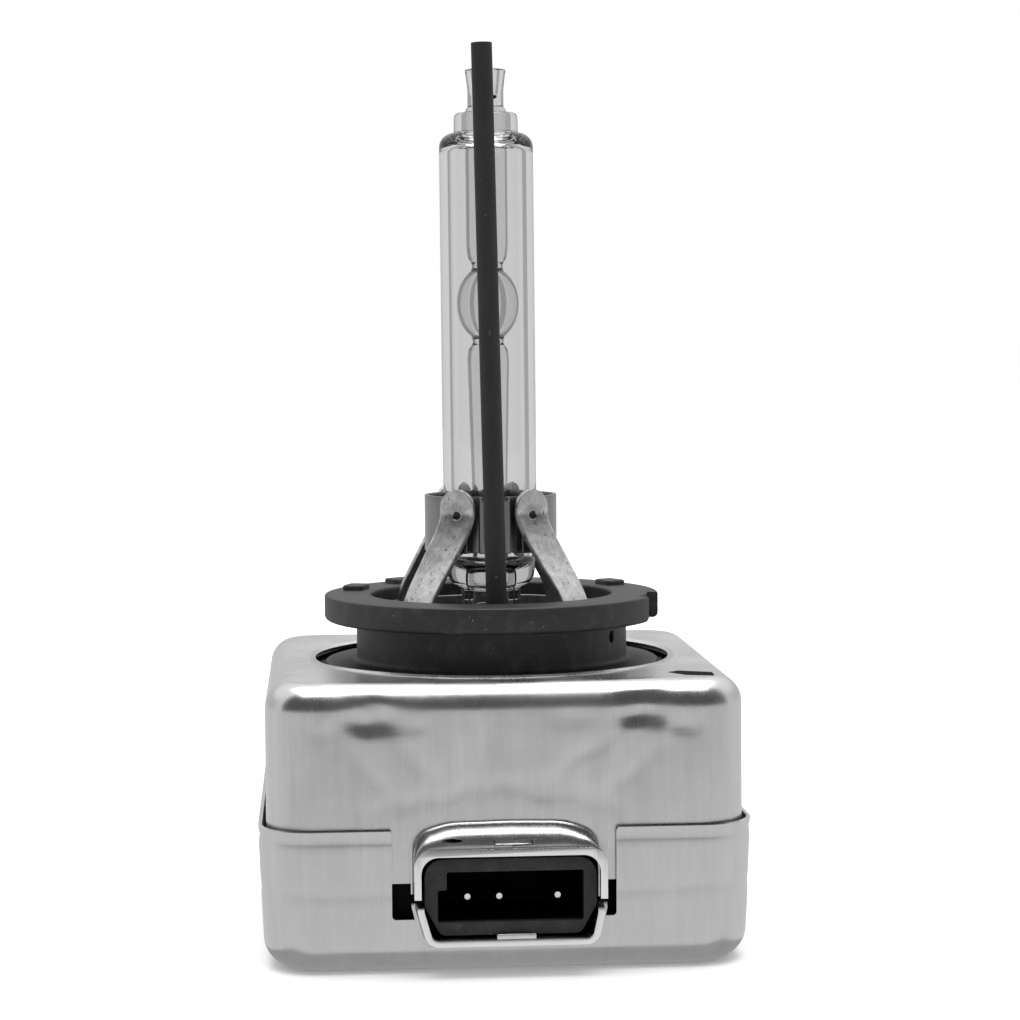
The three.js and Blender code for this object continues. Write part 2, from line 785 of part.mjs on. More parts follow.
function outerBulb() {
  const bore = bulbRadius - bulbWall;
  const lowZ = bulbFootZ - bulbFootLength;
  const footTopZ = bulbFootZ + bulbFootRise;
  const domeZ = footTopZ + bulbDomeRise;
  const neck = tubeLegRadius + sealGap;
  const neckLow = tubeFootRadius + sealGap;
  const collarZ = bulbShoulderZ;
  const shoulderZ = collarZ - bulbShoulderEdge - 0.2;
  return turned([
    [neckLow, lowZ], [bulbFootRadius, lowZ], [bulbFootRadius, footTopZ],
    ...arc(bulbRadius - bulbDomeRadius, domeZ, bulbDomeRadius, -60, 0, 4),
    ...arc(bulbRadius - bulbShoulderEdge, shoulderZ, bulbShoulderEdge, 0, 80, 4),
    [bulbTopCollarRadius, collarZ - 0.3], [bulbTopCollarRadius, bulbTopZ - 0.3],
    [bulbTopCollarRadius - 0.3, bulbTopZ], [neck, bulbTopZ],
    [neck, collarZ - 0.9],
    ...arc(bore - 1.2, collarZ - 2.4, 1.2, 80, 0, 3),
    ...arc(bore - 1.4, domeZ + 0.9, 1.4, 0, -80, 3),
    [neckLow, domeZ - 0.6], [neckLow, lowZ],
  ], 28);
}

function arcTube() {
  const low = bulbFootZ - bulbFootLength;
  const waist = chamberHalf + 0.35;
  const body = turned([
    [0, low], [tubeFootRadius, low], [tubeFootRadius, lightZ - 17.5],
    [tubeLegRadius, lightZ - 5.6],
    ...arc(tubeLegRadius - 0.7, lightZ - 4.9, 0.7, 0, 80, 2),
    [tubeWaistRadius, lightZ - waist],
    ...arc(0, lightZ, 1, -58, 58, 10).map(([r, z]) => [
      r * chamberRadius, lightZ + (z - lightZ) * chamberHalf * 1.12,
    ]),
    [tubeWaistRadius, lightZ + waist],
    ...arc(tubeLegRadius - 0.7, lightZ + 4.9, 0.7, -80, 0, 2),
    [tubeLegRadius, bulbTopZ + 0.1], [tailRadius, bulbTopZ + 0.5],
    [tailRadius, tailTopZ - 2], [tailRadius + tailFlare, tailTopZ], [0, tailTopZ],
  ], 20);
  const hollow = turned(arc(0, lightZ, 1, -90, 90, 8).map(([r, z]) => [
    Math.max(0, r * chamberBoreRadius), lightZ + (z - lightZ) * chamberBoreHalf,
  ]), 16);
  const bores = [-1, 1].flatMap((side) => {
    const nearFoil = lightZ + side * foilFromLight;
    const farFoil = nearFoil + side * foilLength;
    const end = side > 0 ? tailTopZ + 1 : low - 1;
    const span = (a, b) => [Math.min(a, b), Math.max(a, b)];
    const slotHalf = foilWidth / 2 + sealGap;
    const [slotLow, slotHigh] = span(nearFoil - side * sealGap, farFoil + side * sealGap);
    return [
      rod(electrodeRadius + sealGap, ...span(lightZ + side, nearFoil + side * 0.2), 12),
      brick([-foilThickness / 2 - sealGap, -slotHalf, slotLow],
        [foilThickness / 2 + sealGap, slotHalf, slotHigh]),
      rod(leadRadius + sealGap, ...span(farFoil - side * 0.2, end), 12),
    ];
  });
  return cut(body, hollow, ...bores);
}

function electrode(side) {
  const tip = lightZ + (side * arcGap) / 2;
  const root = lightZ + side * (foilFromLight - 0.05);
  return rod(electrodeRadius, Math.min(tip, root), Math.max(tip, root), 12);
}

function foil(side) {
  const near = lightZ + side * foilFromLight;
  const far = near + side * foilLength;
  return brick(
    [-foilThickness / 2, -foilWidth / 2, Math.min(near, far)],
    [foilThickness / 2, foilWidth / 2, Math.max(near, far)],
  );
}

// The upper lead leaves the tail of the arc tube and bends forward to the return wire
function upperLead() {
  const start = lightZ + foilFromLight + foilLength + sealGap;
  const bendZ = rodTopZ - wireBendBelowTop;
  const endY = rodOffsetY + returnWireRadius + rodRadius + 0.15;
  const upright = rod(leadRadius, start, tailTopZ - 0.2, 12);
  const arm = bent([
    [0, 0, tailTopZ - 0.5], [0, 0, tailTopZ + 0.1], [-rodLeanX * 0.1, -0.9, bendZ - 0.05],
    [-rodLeanX * 0.6, endY / 2, bendZ], [-rodLeanX, endY, bendZ],
  ], leadRadius, 8, 12);
  return join(upright, arm);
}

function lowerLead() {
  return rod(leadRadius, bulbFootZ - 9.2, lightZ - foilFromLight - foilLength - sealGap, 12);
}

// ---------------------------------------------------------------- return lead

function leanRod(solid) {
  const lean = THREE.MathUtils.radToDeg(rodTilt);
  return solid.rotate([0, -lean, 0]).translate([0, rodOffsetY, rodFloorZ]);
}

function ceramicSleeve() {
  const length = rodTopZ - rodFloorZ;
  const wall = tube(rodBoreRadius, rodRadius, 0, length, 24);
  const notch = brick(
    [-rodNotchHalf, 0, length - rodNotchDepth], [rodNotchHalf, 2 * past, length + past],
  );
  return leanRod(cut(wall, notch));
}

// The return wire fills the sleeve, bends towards the burner at its top and ends in the igniter
function returnWire() {
  const length = rodTopZ - rodFloorZ;
  const bend = length - wireBendBelowTop;
  const inSleeve = leanRod(join(
    rod(returnWireRadius, 0, bend, 12),
    bent([
      [0, 0, bend - 0.2], [0, 0.12, bend - 0.05], [0, 0.55, bend], [0, rodRadius + 0.1, bend],
    ], returnWireRadius * 0.95, 10, 6),
  ));
  const below = rod(returnWireRadius, lidFloorZ - wireBelowLid, rodFloorZ + rodAboveFloor, 12)
    .translate([0, rodOffsetY, 0]);
  return join(inSleeve, below);
}

// ---------------------------------------------------------------- igniter

function castingResin() {
  const fill = toSolid(softBlock(
    housingInner - partingGap, cavityFloorZ + partingGap, cavityFloorZ + resinDepth + 2,
    caseCorner - 2.3, 0.8, hidden,
  ));
  const reach = 2 * caseHalf;
  const above = brick([-reach, -reach, cavityFloorZ + resinDepth], [reach, reach, caseHeight]);
  const besideSocket = brick(
    [-socketHalf - 0.3, -reach, 0], [socketHalf + 0.3, socketBackY + housingWall + 0.2, caseHeight],
  );
  return cut(fill, above, besideSocket);
}

function carrierPlate() {
  const plate = slabZ(
    roundedRect(housingInner - 0.3, housingInner - 0.3, caseCorner - 2.4),
    carrierZ, carrierZ + carrierThickness,
  );
  const reach = 2 * caseHalf;
  const besideSocket = brick(
    [-socketHalf - 0.3, -reach, 0], [socketHalf + 0.3, socketBackY + housingWall + 0.3, caseHeight],
  );
  return cut(plate, besideSocket);
}

function alongX(solid, x) {
  return solid.rotate([0, 90, 0]).translate([x, transformerY, transformerZ]);
}

const chamberCount = windingCount + 1;
const chamberPitch = (2 * transformerHalf - flangeThickness) / chamberCount;

function transformerBobbin() {
  const profile = [];
  for (let i = 0; i <= chamberCount; i += 1) {
    const at = i * chamberPitch;
    const far = at + flangeThickness;
    profile.push([flangeRadius, at], [flangeRadius, far]);
    if (i < chamberCount) profile.push([bobbinRadius, far], [bobbinRadius, at + chamberPitch]);
  }
  const bore = coreRadius + coreGap;
  const end = chamberCount * chamberPitch + flangeThickness;
  const barrel = turned([[bore, 0], ...profile, [bore, end], [bore, 0]], 24);
  return alongX(barrel, -transformerHalf);
}

function transformerCore() {
  return alongX(rod(coreRadius, 0, 2 * transformerHalf + 1, 28), -transformerHalf - 0.5);
}

function windingSection(index) {
  const from = flangeThickness + 0.1;
  const to = chamberPitch - 0.1;
  const section = tube(bobbinRadius + 0.1, windingRadius, from, to, 20);
  return alongX(section, -transformerHalf + index * chamberPitch);
}

// A few turns of heavier wire in the last chamber of the bobbin
function primaryWinding() {
  const turns = 3;
  const wire = 0.42;
  const from = -transformerHalf + windingCount * chamberPitch + flangeThickness + wire + 0.25;
  const to = -transformerHalf + chamberCount * chamberPitch - wire - 0.25;
  const points = [];
  const perTurn = 12;
  for (let i = 0; i <= turns * perTurn; i += 1) {
    const angle = (2 * Math.PI * i) / perTurn;
    points.push([
      from + ((to - from) * i) / (turns * perTurn),
      transformerY + primaryRadius * Math.sin(angle),
      transformerZ - primaryRadius * Math.cos(angle),
    ]);
  }
  return bent(points, wire, 6, turns * perTurn);
}

function alongYAt(solid, [x, y], z) {
  return solid.rotate([-90, 0, 0]).translate([x, y, z]);
}

const partsFloorZ = busbarZ + busbarThickness + 0.4;

function sparkGapBody() {
  const body = tube(gapBodyRadius - 1.2, gapBodyRadius, -gapBodyLength / 2, gapBodyLength / 2, 28);
  return alongYAt(body, gapCentre, partsFloorZ + gapBodyRadius + 0.6);
}

function sparkGapCap(side) {
  const inner = gapBodyLength / 2 + 0.05;
  const rim = [[0, inner], [gapBodyRadius + 0.2, inner]];
  const profile = [
    ...rim, [gapBodyRadius + 0.2, inner + gapCapThickness], [0.8, inner + gapCapThickness],
    [0.5, inner + gapCapThickness + 0.9], [0, inner + gapCapThickness + 0.9],
  ];
  let body = turned(profile, 28);
  if (side < 0) body = body.mirror([0, 0, 1]);
  return alongYAt(body, gapCentre, partsFloorZ + gapBodyRadius + 0.6);
}

function pulseCapacitor() {
  const [x, y] = capacitorCentre;
  const [width, depth, height] = capacitorSize;
  return slabZ(roundedRect(width / 2, depth / 2, 1.4), partsFloorZ, partsFloorZ + height, 4)
    .translate([x, y, 0]);
}

function bleedResistor() {
  const half = resistorLength / 2;
  const body = turned([
    [0, -half - 2.2], [0.3, -half - 2.2], [0.3, -half], [resistorRadius, -half + 0.3],
    [resistorRadius, -half + 1.3], [resistorRadius - 0.2, -half + 1.6],
    [resistorRadius - 0.2, half - 1.6], [resistorRadius, half - 1.3],
    [resistorRadius, half - 0.3], [0.3, half], [0.3, half + 2.2], [0, half + 2.2],
  ], 18);
  const [x, y] = resistorCentre;
  return body.rotate([0, 90, 0]).translate([x, y, partsFloorZ + resistorRadius]);
}

// Busbars lie flat on the carrier, from behind the socket to the parts they feed
function busbar(points) {
  const z = [busbarZ, busbarZ + busbarThickness];
  const half = busbarWidth / 2;
  const runs = [];
  for (let i = 0; i + 1 < points.length; i += 1) {
    const [x0, y0] = points[i];
    const [x1, y1] = points[i + 1];
    runs.push(brick(
      [Math.min(x0, x1) - half, Math.min(y0, y1) - half, z[0]],
      [Math.max(x0, x1) + half, Math.max(y0, y1) + half, z[1]],
    ));
  }
  return join(...runs);
}

function highVoltageTerminal() {
  const topZ = bulbFootZ - bulbFootLength - terminalBelowBulb;
  const lowZ = lidFloorZ - terminalDepth;
  const bore = leadRadius + wireGap;
  const cup = turned([
    [0, lowZ], [terminalRadius, lowZ], [terminalRadius, topZ], [bore, topZ],
    [bore, lowZ + terminalFloor], [0, lowZ + terminalFloor],
  ], 24);
  const strap = brick(
    [-strapHalf, -strapHalf, lowZ - strapThickness],
    [strapHalf, transformerY + strapHalf, lowZ + 0.1],
  );
  return join(cup, strap);
}

function returnTerminal() {
  const y = rodOffsetY - returnWireRadius - wireGap;
  return join(
    brick([-returnPlateHalf, y - busbarThickness, busbarZ], [returnPlateHalf, y, lidFloorZ - 1.2]),
    brick([-returnPlateHalf, y - busbarThickness, busbarZ],
      [returnPlateHalf, y + returnFootLength, busbarZ + busbarThickness]),
  );
}

// ---------------------------------------------------------------- assembly

addPart('upper_shield', upperShield(), aluminium);
addPart('lower_cover', lowerCover(), aluminium);
addPart('lamp_cap', lampCap(), moulding);
addPart('igniter_housing', igniterHousing(), moulding);
pinStations.forEach((x, i) => addPart(`contact_pin_${i + 1}`, contactPin(x), contactMetal));

addPart('weld_sleeve', weldSleeve(), darkSteel);
addPart('burner_clamp', burnerClamp(), steel);
for (const [row, sideY] of [['front', -1], ['rear', 1]]) {
  for (const [hand, sideX] of [['left', -1], ['right', 1]]) {
    addPart(`support_leg_${row}_${hand}`, supportLeg(sideX, sideY), steel);
  }
}

addPart('outer_bulb', outerBulb(), glass);
addPart('arc_tube', arcTube(), glass);
for (const [level, side] of [['upper', 1], ['lower', -1]]) {
  addPart(`${level}_electrode`, electrode(side), tungsten);
  addPart(`${level}_foil`, foil(side), tungsten);
}
addPart('upper_lead', upperLead(), tungsten);
addPart('lower_lead', lowerLead(), tungsten);
addPart('ceramic_sleeve', ceramicSleeve(), ceramic);
addPart('return_wire', returnWire(), darkSteel);

addPart('high_voltage_terminal', highVoltageTerminal(), contactMetal);
addPart('return_terminal', returnTerminal(), contactMetal);
addPart('transformer_core', transformerCore(), ferrite);
addPart('transformer_bobbin', transformerBobbin(), tan);
for (let i = 0; i < windingCount; i += 1) {
  addPart(`secondary_winding_${i + 1}`, windingSection(i), copper);
}
addPart('primary_winding', primaryWinding(), copper);
addPart('spark_gap_body', sparkGapBody(), ceramic);
addPart('spark_gap_cap_front', sparkGapCap(-1), contactMetal);
addPart('spark_gap_cap_rear', sparkGapCap(1), contactMetal);
addPart('pulse_capacitor', pulseCapacitor(), film);
addPart('bleed_resistor', bleedResistor(), tan);
const busbarY = socketBackY + housingWall + busbarWidth / 2 + 0.2;
addPart('busbar_supply', busbar([
  [pinStations[0], busbarY], [pinStations[0], busbarY + 1.2], [gapCentre[0], busbarY + 1.2],
]), contactMetal);
addPart('busbar_trigger', busbar([
  [pinStations[2], busbarY], [capacitorCentre[0], busbarY],
]), contactMetal);
addPart('carrier_plate', carrierPlate(), moulding);
addPart('casting_resin', castingResin(), resin);

export default object;
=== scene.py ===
"""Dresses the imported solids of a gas-discharge headlight bulb: metal case, moulded cap, steel
burner mount, quartz burner and return lead, with the igniter left as it is inside."""

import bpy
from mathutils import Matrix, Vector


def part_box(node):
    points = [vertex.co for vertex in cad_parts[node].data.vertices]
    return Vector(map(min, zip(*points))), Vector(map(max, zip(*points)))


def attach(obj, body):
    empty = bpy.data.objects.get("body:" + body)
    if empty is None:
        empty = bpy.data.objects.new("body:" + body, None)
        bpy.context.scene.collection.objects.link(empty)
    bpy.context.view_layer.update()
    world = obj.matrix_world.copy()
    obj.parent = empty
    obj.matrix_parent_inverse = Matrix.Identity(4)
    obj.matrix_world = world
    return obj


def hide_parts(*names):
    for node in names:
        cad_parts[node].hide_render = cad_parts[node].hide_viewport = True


bl_info = {
    "name": "Discharge Headlight Bulb",
    "version": (1, 0, 0),
    "blender": (4, 5, 0),
    "location": "3D View > Sidebar > Headlight Bulb",
    "description": "Builds the finished surfaces of a discharge headlight bulb on its solids",
    "category": "Add Mesh",
}

import math

import bmesh
import bpy
from bpy.props import FloatProperty, FloatVectorProperty, PointerProperty
from mathutils import Matrix, Vector, noise

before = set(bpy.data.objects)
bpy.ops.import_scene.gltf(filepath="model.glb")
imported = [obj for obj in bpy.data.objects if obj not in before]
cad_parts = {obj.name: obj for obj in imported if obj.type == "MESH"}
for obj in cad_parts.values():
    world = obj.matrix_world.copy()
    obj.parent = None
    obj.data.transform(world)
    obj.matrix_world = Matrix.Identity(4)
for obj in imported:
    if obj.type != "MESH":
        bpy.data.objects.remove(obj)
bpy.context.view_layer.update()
MM = 0.001
BODY = "root"

# Dents in the can's front wall: X, Z, half width, half height and share of the dent depth
DENTS = (
    (-11.8, 23.0, 3.9, 2.1, 1.0), (12.1, 23.2, 3.4, 2.0, 0.8), (15.6, 21.8, 2.4, 1.6, 0.3),
    (-15.5, 21.4, 2.6, 2.4, 0.22), (-8.6, 21.9, 2.6, 1.3, 0.2), (6.4, 22.4, 3.6, 1.2, 0.14),
)
# Creases in the same wall, from X and Z to X and Z
CREASES = (
    ((-11.6, 22.6), (-6.6, 16.6)), ((-14.4, 20.6), (-9.4, 15.4)), ((3.6, 16.8), (10.6, 22.4)),
    ((-13.0, 14.4), (-3.0, 16.6)), ((-5.0, 16.4), (5.0, 16.6)), ((2.0, 16.7), (10.6, 14.5)),
    ((8.6, 15.6), (14.4, 20.4)),
)
QUARTZ_DENSITY = 45.0
# How far the glass leans to the left over its whole height
GLASS_LEAN = 0.2 * MM
# Gap between parts of the burner mount that lie against each other
TOUCHING = 0.06 * MM

# Cards of light or dark that only reflections or only clear glass can see: name, radius in
# metres, azimuths and elevations in degrees, strength, rays that see it, steps along it
CARDS = (
    ("dark_room", 1.2, (-172, -8), (0.5, 74), 0.1, "glossy", 24),
    ("far_wall", 1.2, (5, 175), (0.5, 24), 0.62, "glossy", 24),
    ("back_room", 1.5, (48, 132), (-89, 89), 0.7, "transmission", 24),
    ("side_room", 1.5, (132, 408), (-89, 89), 0.36, "transmission", 48),
)
FLOOR_HALF = 4.0
SHADOW_HALF = 24 * MM

CAMERA_PLACE = (-16.31 * MM, -248.58 * MM, 55.89 * MM)
CAMERA_YAW, CAMERA_PITCH, CAMERA_ROLL = -0.073, -0.065, -0.007

# ---------------------------------------------------------------- places, from the frame

SHIELD_LOW, SHIELD_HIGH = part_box("upper_shield")
COVER_LOW, COVER_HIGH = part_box("lower_cover")
CAP_LOW, CAP_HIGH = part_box("lamp_cap")
HOUSING_LOW, HOUSING_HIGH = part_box("igniter_housing")
SLEEVE_LOW, SLEEVE_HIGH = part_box("weld_sleeve")
CLAMP_LOW, CLAMP_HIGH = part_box("burner_clamp")
LEG_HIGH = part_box("support_leg_front_right")[1]
BULB_LOW, BULB_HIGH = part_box("outer_bulb")
TUBE_LOW, TUBE_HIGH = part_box("arc_tube")
ROD_LOW, ROD_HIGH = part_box("ceramic_sleeve")
LIGHT_Z = (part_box("upper_electrode")[0].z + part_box("lower_electrode")[1].z) / 2
PINS = ["contact_pin_1", "contact_pin_2", "contact_pin_3"]


# ---------------------------------------------------------------- sizes a user may change

def length(name, description, millimetres):
    return FloatProperty(
        name=name, description=description, default=millimetres * MM,
        unit="LENGTH", subtype="DISTANCE", precision=5,
    )


def shade(name, description, value):
    return FloatVectorProperty(
        name=name, description=description, default=(value, value, value),
        subtype="COLOR", min=0.0, max=1.0,
    )


class CaseSizes(bpy.types.PropertyGroup):
    corner: length("Corner", "Radius of the can's upright corners", 4.6)
    bend: length("Bend", "Radius between the can's walls and its top", 2.5)
    sheet: length("Sheet", "Thickness of the can's sheet", 0.5)
    skirt: length("Skirt height", "Height of the can's lower edge", 8.1)
    opening: length("Opening", "Radius of the opening on top", 16.9)
    dent_depth: length("Dent depth", "Depth of the two dents under the front bend", 0.34)
    crease_width: length("Crease width", "Width of the soft creases in the front wall", 0.8)
    crease_depth: length("Crease depth", "Depth of the soft creases in the front wall", 0.055)
    ripple: length("Ripple", "Height of the soft waves in the sheet", 0.06)
    cover_sheet: length("Cover sheet", "Thickness of the cover's sheet", 0.35)
    cover_corner: length("Cover corner", "Radius of the cover's upright corners", 4.9)
    cover_bend: length("Cover bend", "Radius between the cover's walls and its floor", 2.6)
    cover_flare: length("Cover flare", "How far the rim stands out beyond the foot", 0.64)
    cut_left: length("Cut-out left", "Left edge of the cut-out round the connector", 10.4)
    cut_right: length("Cut-out right", "Right edge of the cut-out round the connector", 9.5)
    cut_sill: length("Cut-out sill", "Height of the lower edge of the cut-out", 4.95)


class ConnectorSizes(bpy.types.PropertyGroup):
    half: length("Frame half width", "Half the width of the metal frame", 8.5)
    wall: length("Frame wall", "Thickness of the frame", 0.62)
    top: length("Frame top", "Height of the frame's upper edge at the front", 11.5)
    crest: length("Hood crest", "Height of the hood where it meets the wall", 13.45)
    corner: length("Frame corner", "Radius of the frame's upper corners", 2.2)
    lip_top: length("Lip top", "Height where the lower half of the frame ends", 6.35)
    lip_bottom: length("Lip bottom", "Height of the frame's lower edge", 2.9)
    lip_foot: length("Lip foot", "Half the width of the frame's lower edge", 7.3)
    rim: length("Rim", "Depth of the frame's straight front rim", 0.45)
    root: length("Root fillet", "Radius where the hood runs out of the wall", 0.22)
    lip_root: length("Lip root fillet", "Radius where the lip runs out of the wall", 0.45)
    socket_gap: length("Socket gap", "Clearance between the frame and the socket", 0.3)
    socket_wall: length("Socket wall", "Thickness of the socket's wall", 1.15)
    socket_depth: length("Socket depth", "Depth of the socket", 8.8)
    key_width: length("Key width", "Width of the key in the socket", 0.8)
    key_height: length("Key height", "Height of the key in the socket", 1.6)
    pin_radius: length("Pin radius", "Radius of a contact pin", 0.45)


class CapSizes(bpy.types.PropertyGroup):
    disc: length("Disc radius", "Radius of the disc in the can's opening", 16.0)
    disc_drop: length("Disc drop", "How far the disc lies below the can's top", 0.3)
    neck: length("Neck radius", "Radius of the neck", 12.95)
    ring: length("Ring radius", "Radius of the reference ring", 16.0)
    ring_thickness: length("Ring thickness", "Thickness of the reference ring", 2.44)
    ring_edge: length("Ring edge", "Rounding of the ring's lower edge", 0.5)
    bore: length("Bore", "Radius of the bore", 11.5)
    bore_depth: length("Bore depth", "Depth of the bore", 5.3)
    notch: length("Notch", "Depth of the orientation notch", 1.0)
    boss: length("Boss height", "Height of the reference bosses", 0.5)
    hole: length("Sight hole", "Radius of the hole in the neck", 0.5)


class MountSizes(bpy.types.PropertyGroup):
    leg_width: length("Leg width", "Width of a support leg", 3.55)
    leg_sheet: length("Leg sheet", "Thickness of a support leg", 0.48)
    leg_bend: length("Leg bend", "Distance from the middle of the head to the first bend", 1.25)
    head_angle: FloatProperty(
        name="Head angle", description="Where a leg's head stands, in degrees from Y", default=31.5,
    )
    foot_angle: FloatProperty(
        name="Foot angle", description="Where a leg's foot stands, in degrees from Y", default=44.0,
    )
    weld_drop: length("Weld drop", "Distance from the top of a leg to its spot weld", 2.5)
    clamp_sheet: length("Clamp sheet", "Thickness of the clamp", 0.35)
    flute: length("Flute", "Depth of the clamp's upright flutes", 1.0)
    weld: length("Weld radius", "Radius of a spot weld", 0.45)
    sleeve_sheet: length("Sleeve sheet", "Thickness of the weld sleeve", 0.3)


class BurnerSizes(bpy.types.PropertyGroup):
    wall: length("Envelope wall", "Wall of the outer bulb", 1.0)
    foot: length("Foot radius", "Radius of the outer bulb's foot", 2.85)
    shoulder: length("Shoulder radius", "Rounding of the outer bulb's shoulder", 1.38)
    collar: length("Collar radius", "Radius of the outer bulb's upper collar", 3.02)
    collar_height: length("Collar height", "Height of the upper collar", 1.9)
    chamber: length("Chamber radius", "Outer radius of the discharge chamber", 2.97)
    chamber_half: length("Chamber half length", "Half the chamber's outer length", 3.33)
    chamber_bore: length("Chamber bore", "Inner radius of the discharge chamber", 1.4)
    leg: length("Tube radius", "Radius of the arc tube above and below the chamber", 2.0)
    waist: length("Waist", "Radius of the arc tube beside the chamber", 1.45)
    tail: length("Tail radius", "Radius of the arc tube's open tail", 1.72)
    rod: length("Sleeve radius", "Radius of the ceramic sleeve", 0.97)
    rod_bore: length("Sleeve bore", "Radius of the bore in the ceramic sleeve", 0.52)


class StudioSizes(bpy.types.PropertyGroup):
    sky: FloatProperty(name="Sky", description="Brightness of the studio's walls", default=1.0)
    soft_light: FloatProperty(
        name="Soft light", description="Power of the lamp overhead, in watts", default=5.0,
    )
    floor_shade: shade("Floor", "Shade of the floor", 0.95)
    focal_length: FloatProperty(name="Lens", description="Focal length in mm", default=91.76)


# ---------------------------------------------------------------- outlines

def arc(centre, radius, start, end, steps):
    """Points of an arc, angles in degrees. radius is one number or a pair for an ellipse."""
    across, up = radius if isinstance(radius, tuple) else (radius, radius)
    angles = [math.radians(start + (end - start) * i / steps) for i in range(steps + 1)]
    return [(centre[0] + across * math.cos(a), centre[1] + up * math.sin(a)) for a in angles]


def rounded(points, radii, closed=True, steps=5):
    """The line through the points with its corners rounded, by one radius or one for each."""
    count = len(points)
    if not isinstance(radii, (list, tuple)):
        radii = [radii] * count
    line = []
    for i, (point, radius) in enumerate(zip(points, radii)):
        corner = Vector(point)
        ends_here = not closed and i in (0, count - 1)
        if ends_here or radius <= 0:
            line.append(tuple(corner))
            continue
        before = Vector(points[i - 1]) - corner
        after = Vector(points[(i + 1) % count]) - corner
        half = before.angle(after) / 2
        reach = min(radius / math.tan(half), 0.49 * before.length, 0.49 * after.length)
        start = corner + before.normalized() * reach
        end = corner + after.normalized() * reach
        pull = math.sin(half)
        for k in range(steps + 1):
            t = k / steps
            a, b, c = (1 - t) ** 2, 2 * pull * t * (1 - t), t ** 2
            line.append(tuple((start * a + corner * b + end * c) / (a + b + c)))
    return line


def square_loop(half, corner, z, side_steps, corner_steps):
    """One loop round a square with rounded corners, seen from above it runs anticlockwise."""
    centre = half - corner
    loop = []
    for quarter in range(4):
        turn = Matrix.Rotation(math.radians(90 * quarter), 2)
        side = [(-centre + 2 * centre * i / side_steps, -half) for i in range(side_steps)]
        bend = arc((centre, -centre), corner, -90, 0, corner_steps)[:-1]
        loop += [turn @ Vector(point) for point in side + bend]
    return [Vector((x, y, z)) for x, y in loop]


def smooth_step(value):
    share = min(max(value, 0.0), 1.0)
    return share * share * (3 - 2 * share)


def smooth_line(points, count):
    """Evenly spaced points on a smooth curve through the given points."""
    points = [Vector(p) for p in points]
    padded = [2 * points[0] - points[1], *points, 2 * points[-1] - points[-2]]
    fine = []
    for a, b, c, d in zip(padded, padded[1:], padded[2:], padded[3:]):
        ab, bc, cd = (math.sqrt((q - p).length) for p, q in ((a, b), (b, c), (c, d)))
        leave = ((b - a) / ab - (c - a) / (ab + bc)) * bc + (c - b)
        arrive = ((d - c) / cd - (d - b) / (bc + cd)) * bc + (c - b)
        for k in range(24):
            t = k / 24
            fine.append(
                b * (2 * t ** 3 - 3 * t ** 2 + 1) + leave * (t ** 3 - 2 * t ** 2 + t)
                + c * (3 * t ** 2 - 2 * t ** 3) + arrive * (t ** 3 - t ** 2)
            )
    fine.append(points[-1])
    marks = [0.0]
    for a, b in zip(fine, fine[1:]):
        marks.append(marks[-1] + (b - a).length)
    line = []
    k = 0
    for i in range(count):
        want = marks[-1] * i / (count - 1)
        while k < len(marks) - 2 and marks[k + 1] < want:
            k += 1
        share = (want - marks[k]) / max(marks[k + 1] - marks[k], 1e-12)
        line.append(fine[k].lerp(fine[k + 1], share))
    return line


# ---------------------------------------------------------------- meshes

def add_object(name, vertices, faces):
    mesh = bpy.data.meshes.new(name)
    mesh.from_pydata([tuple(v) for v in vertices], [], faces)
    obj = bpy.data.objects.new(name, mesh)
    bpy.context.scene.collection.objects.link(obj)
    return obj


def turned(name, profile, segments=144, closed=False):
    """A body turned about Z from [radius, z] pairs, which run up its outside."""
    vertices, rings, faces = [], [], []
    for radius, z in profile:
        on_axis = radius < 1e-9
        ring = []
        for i in range(1 if on_axis else segments):
            angle = 2 * math.pi * i / segments
            ring.append(len(vertices))
            vertices.append((radius * math.cos(angle), radius * math.sin(angle), z))
        rings.append(ring)
    pairs = list(zip(rings, rings[1:]))
    if closed:
        pairs.append((rings[-1], rings[0]))
    for low, high in pairs:
        if len(low) == 1 and len(high) == 1:
            continue
        for i in range(segments):
            j = (i + 1) % segments
            if len(low) == 1:
                faces.append((low[0], high[j], high[i]))
            elif len(high) == 1:
                faces.append((low[i], low[j], high[0]))
            else:
                faces.append((low[i], low[j], high[j], high[i]))
    return add_object(name, vertices, faces)


def lofted(name, rings, loop=True, capped=True):
    """A skin over rings of points. Rings that run anticlockwise and upwards face outwards."""
    count = len(rings[0])
    vertices = [point for ring in rings for point in ring]
    faces = []
    for k in range(len(rings) - 1):
        for i in range(count if loop else count - 1):
            j = (i + 1) % count
            faces.append((k * count + i, k * count + j, (k + 1) * count + j, (k + 1) * count + i))
    if capped:
        last = (len(rings) - 1) * count
        faces.append(tuple(range(count - 1, -1, -1)))
        faces.append(tuple(range(last, last + count)))
    return add_object(name, vertices, faces)


def prism(name, outline, axis, low, high):
    """An outline extruded along an axis. It is drawn in the other two axes, in their order."""
    place = {
        "X": lambda a, b, c: (c, a, b),
        "Y": lambda a, b, c: (a, c, b),
        "Z": lambda a, b, c: (a, b, c),
    }[axis]
    rings = [[place(a, b, level) for a, b in outline] for level in (low, high)]
    return outward(lofted(name, rings))


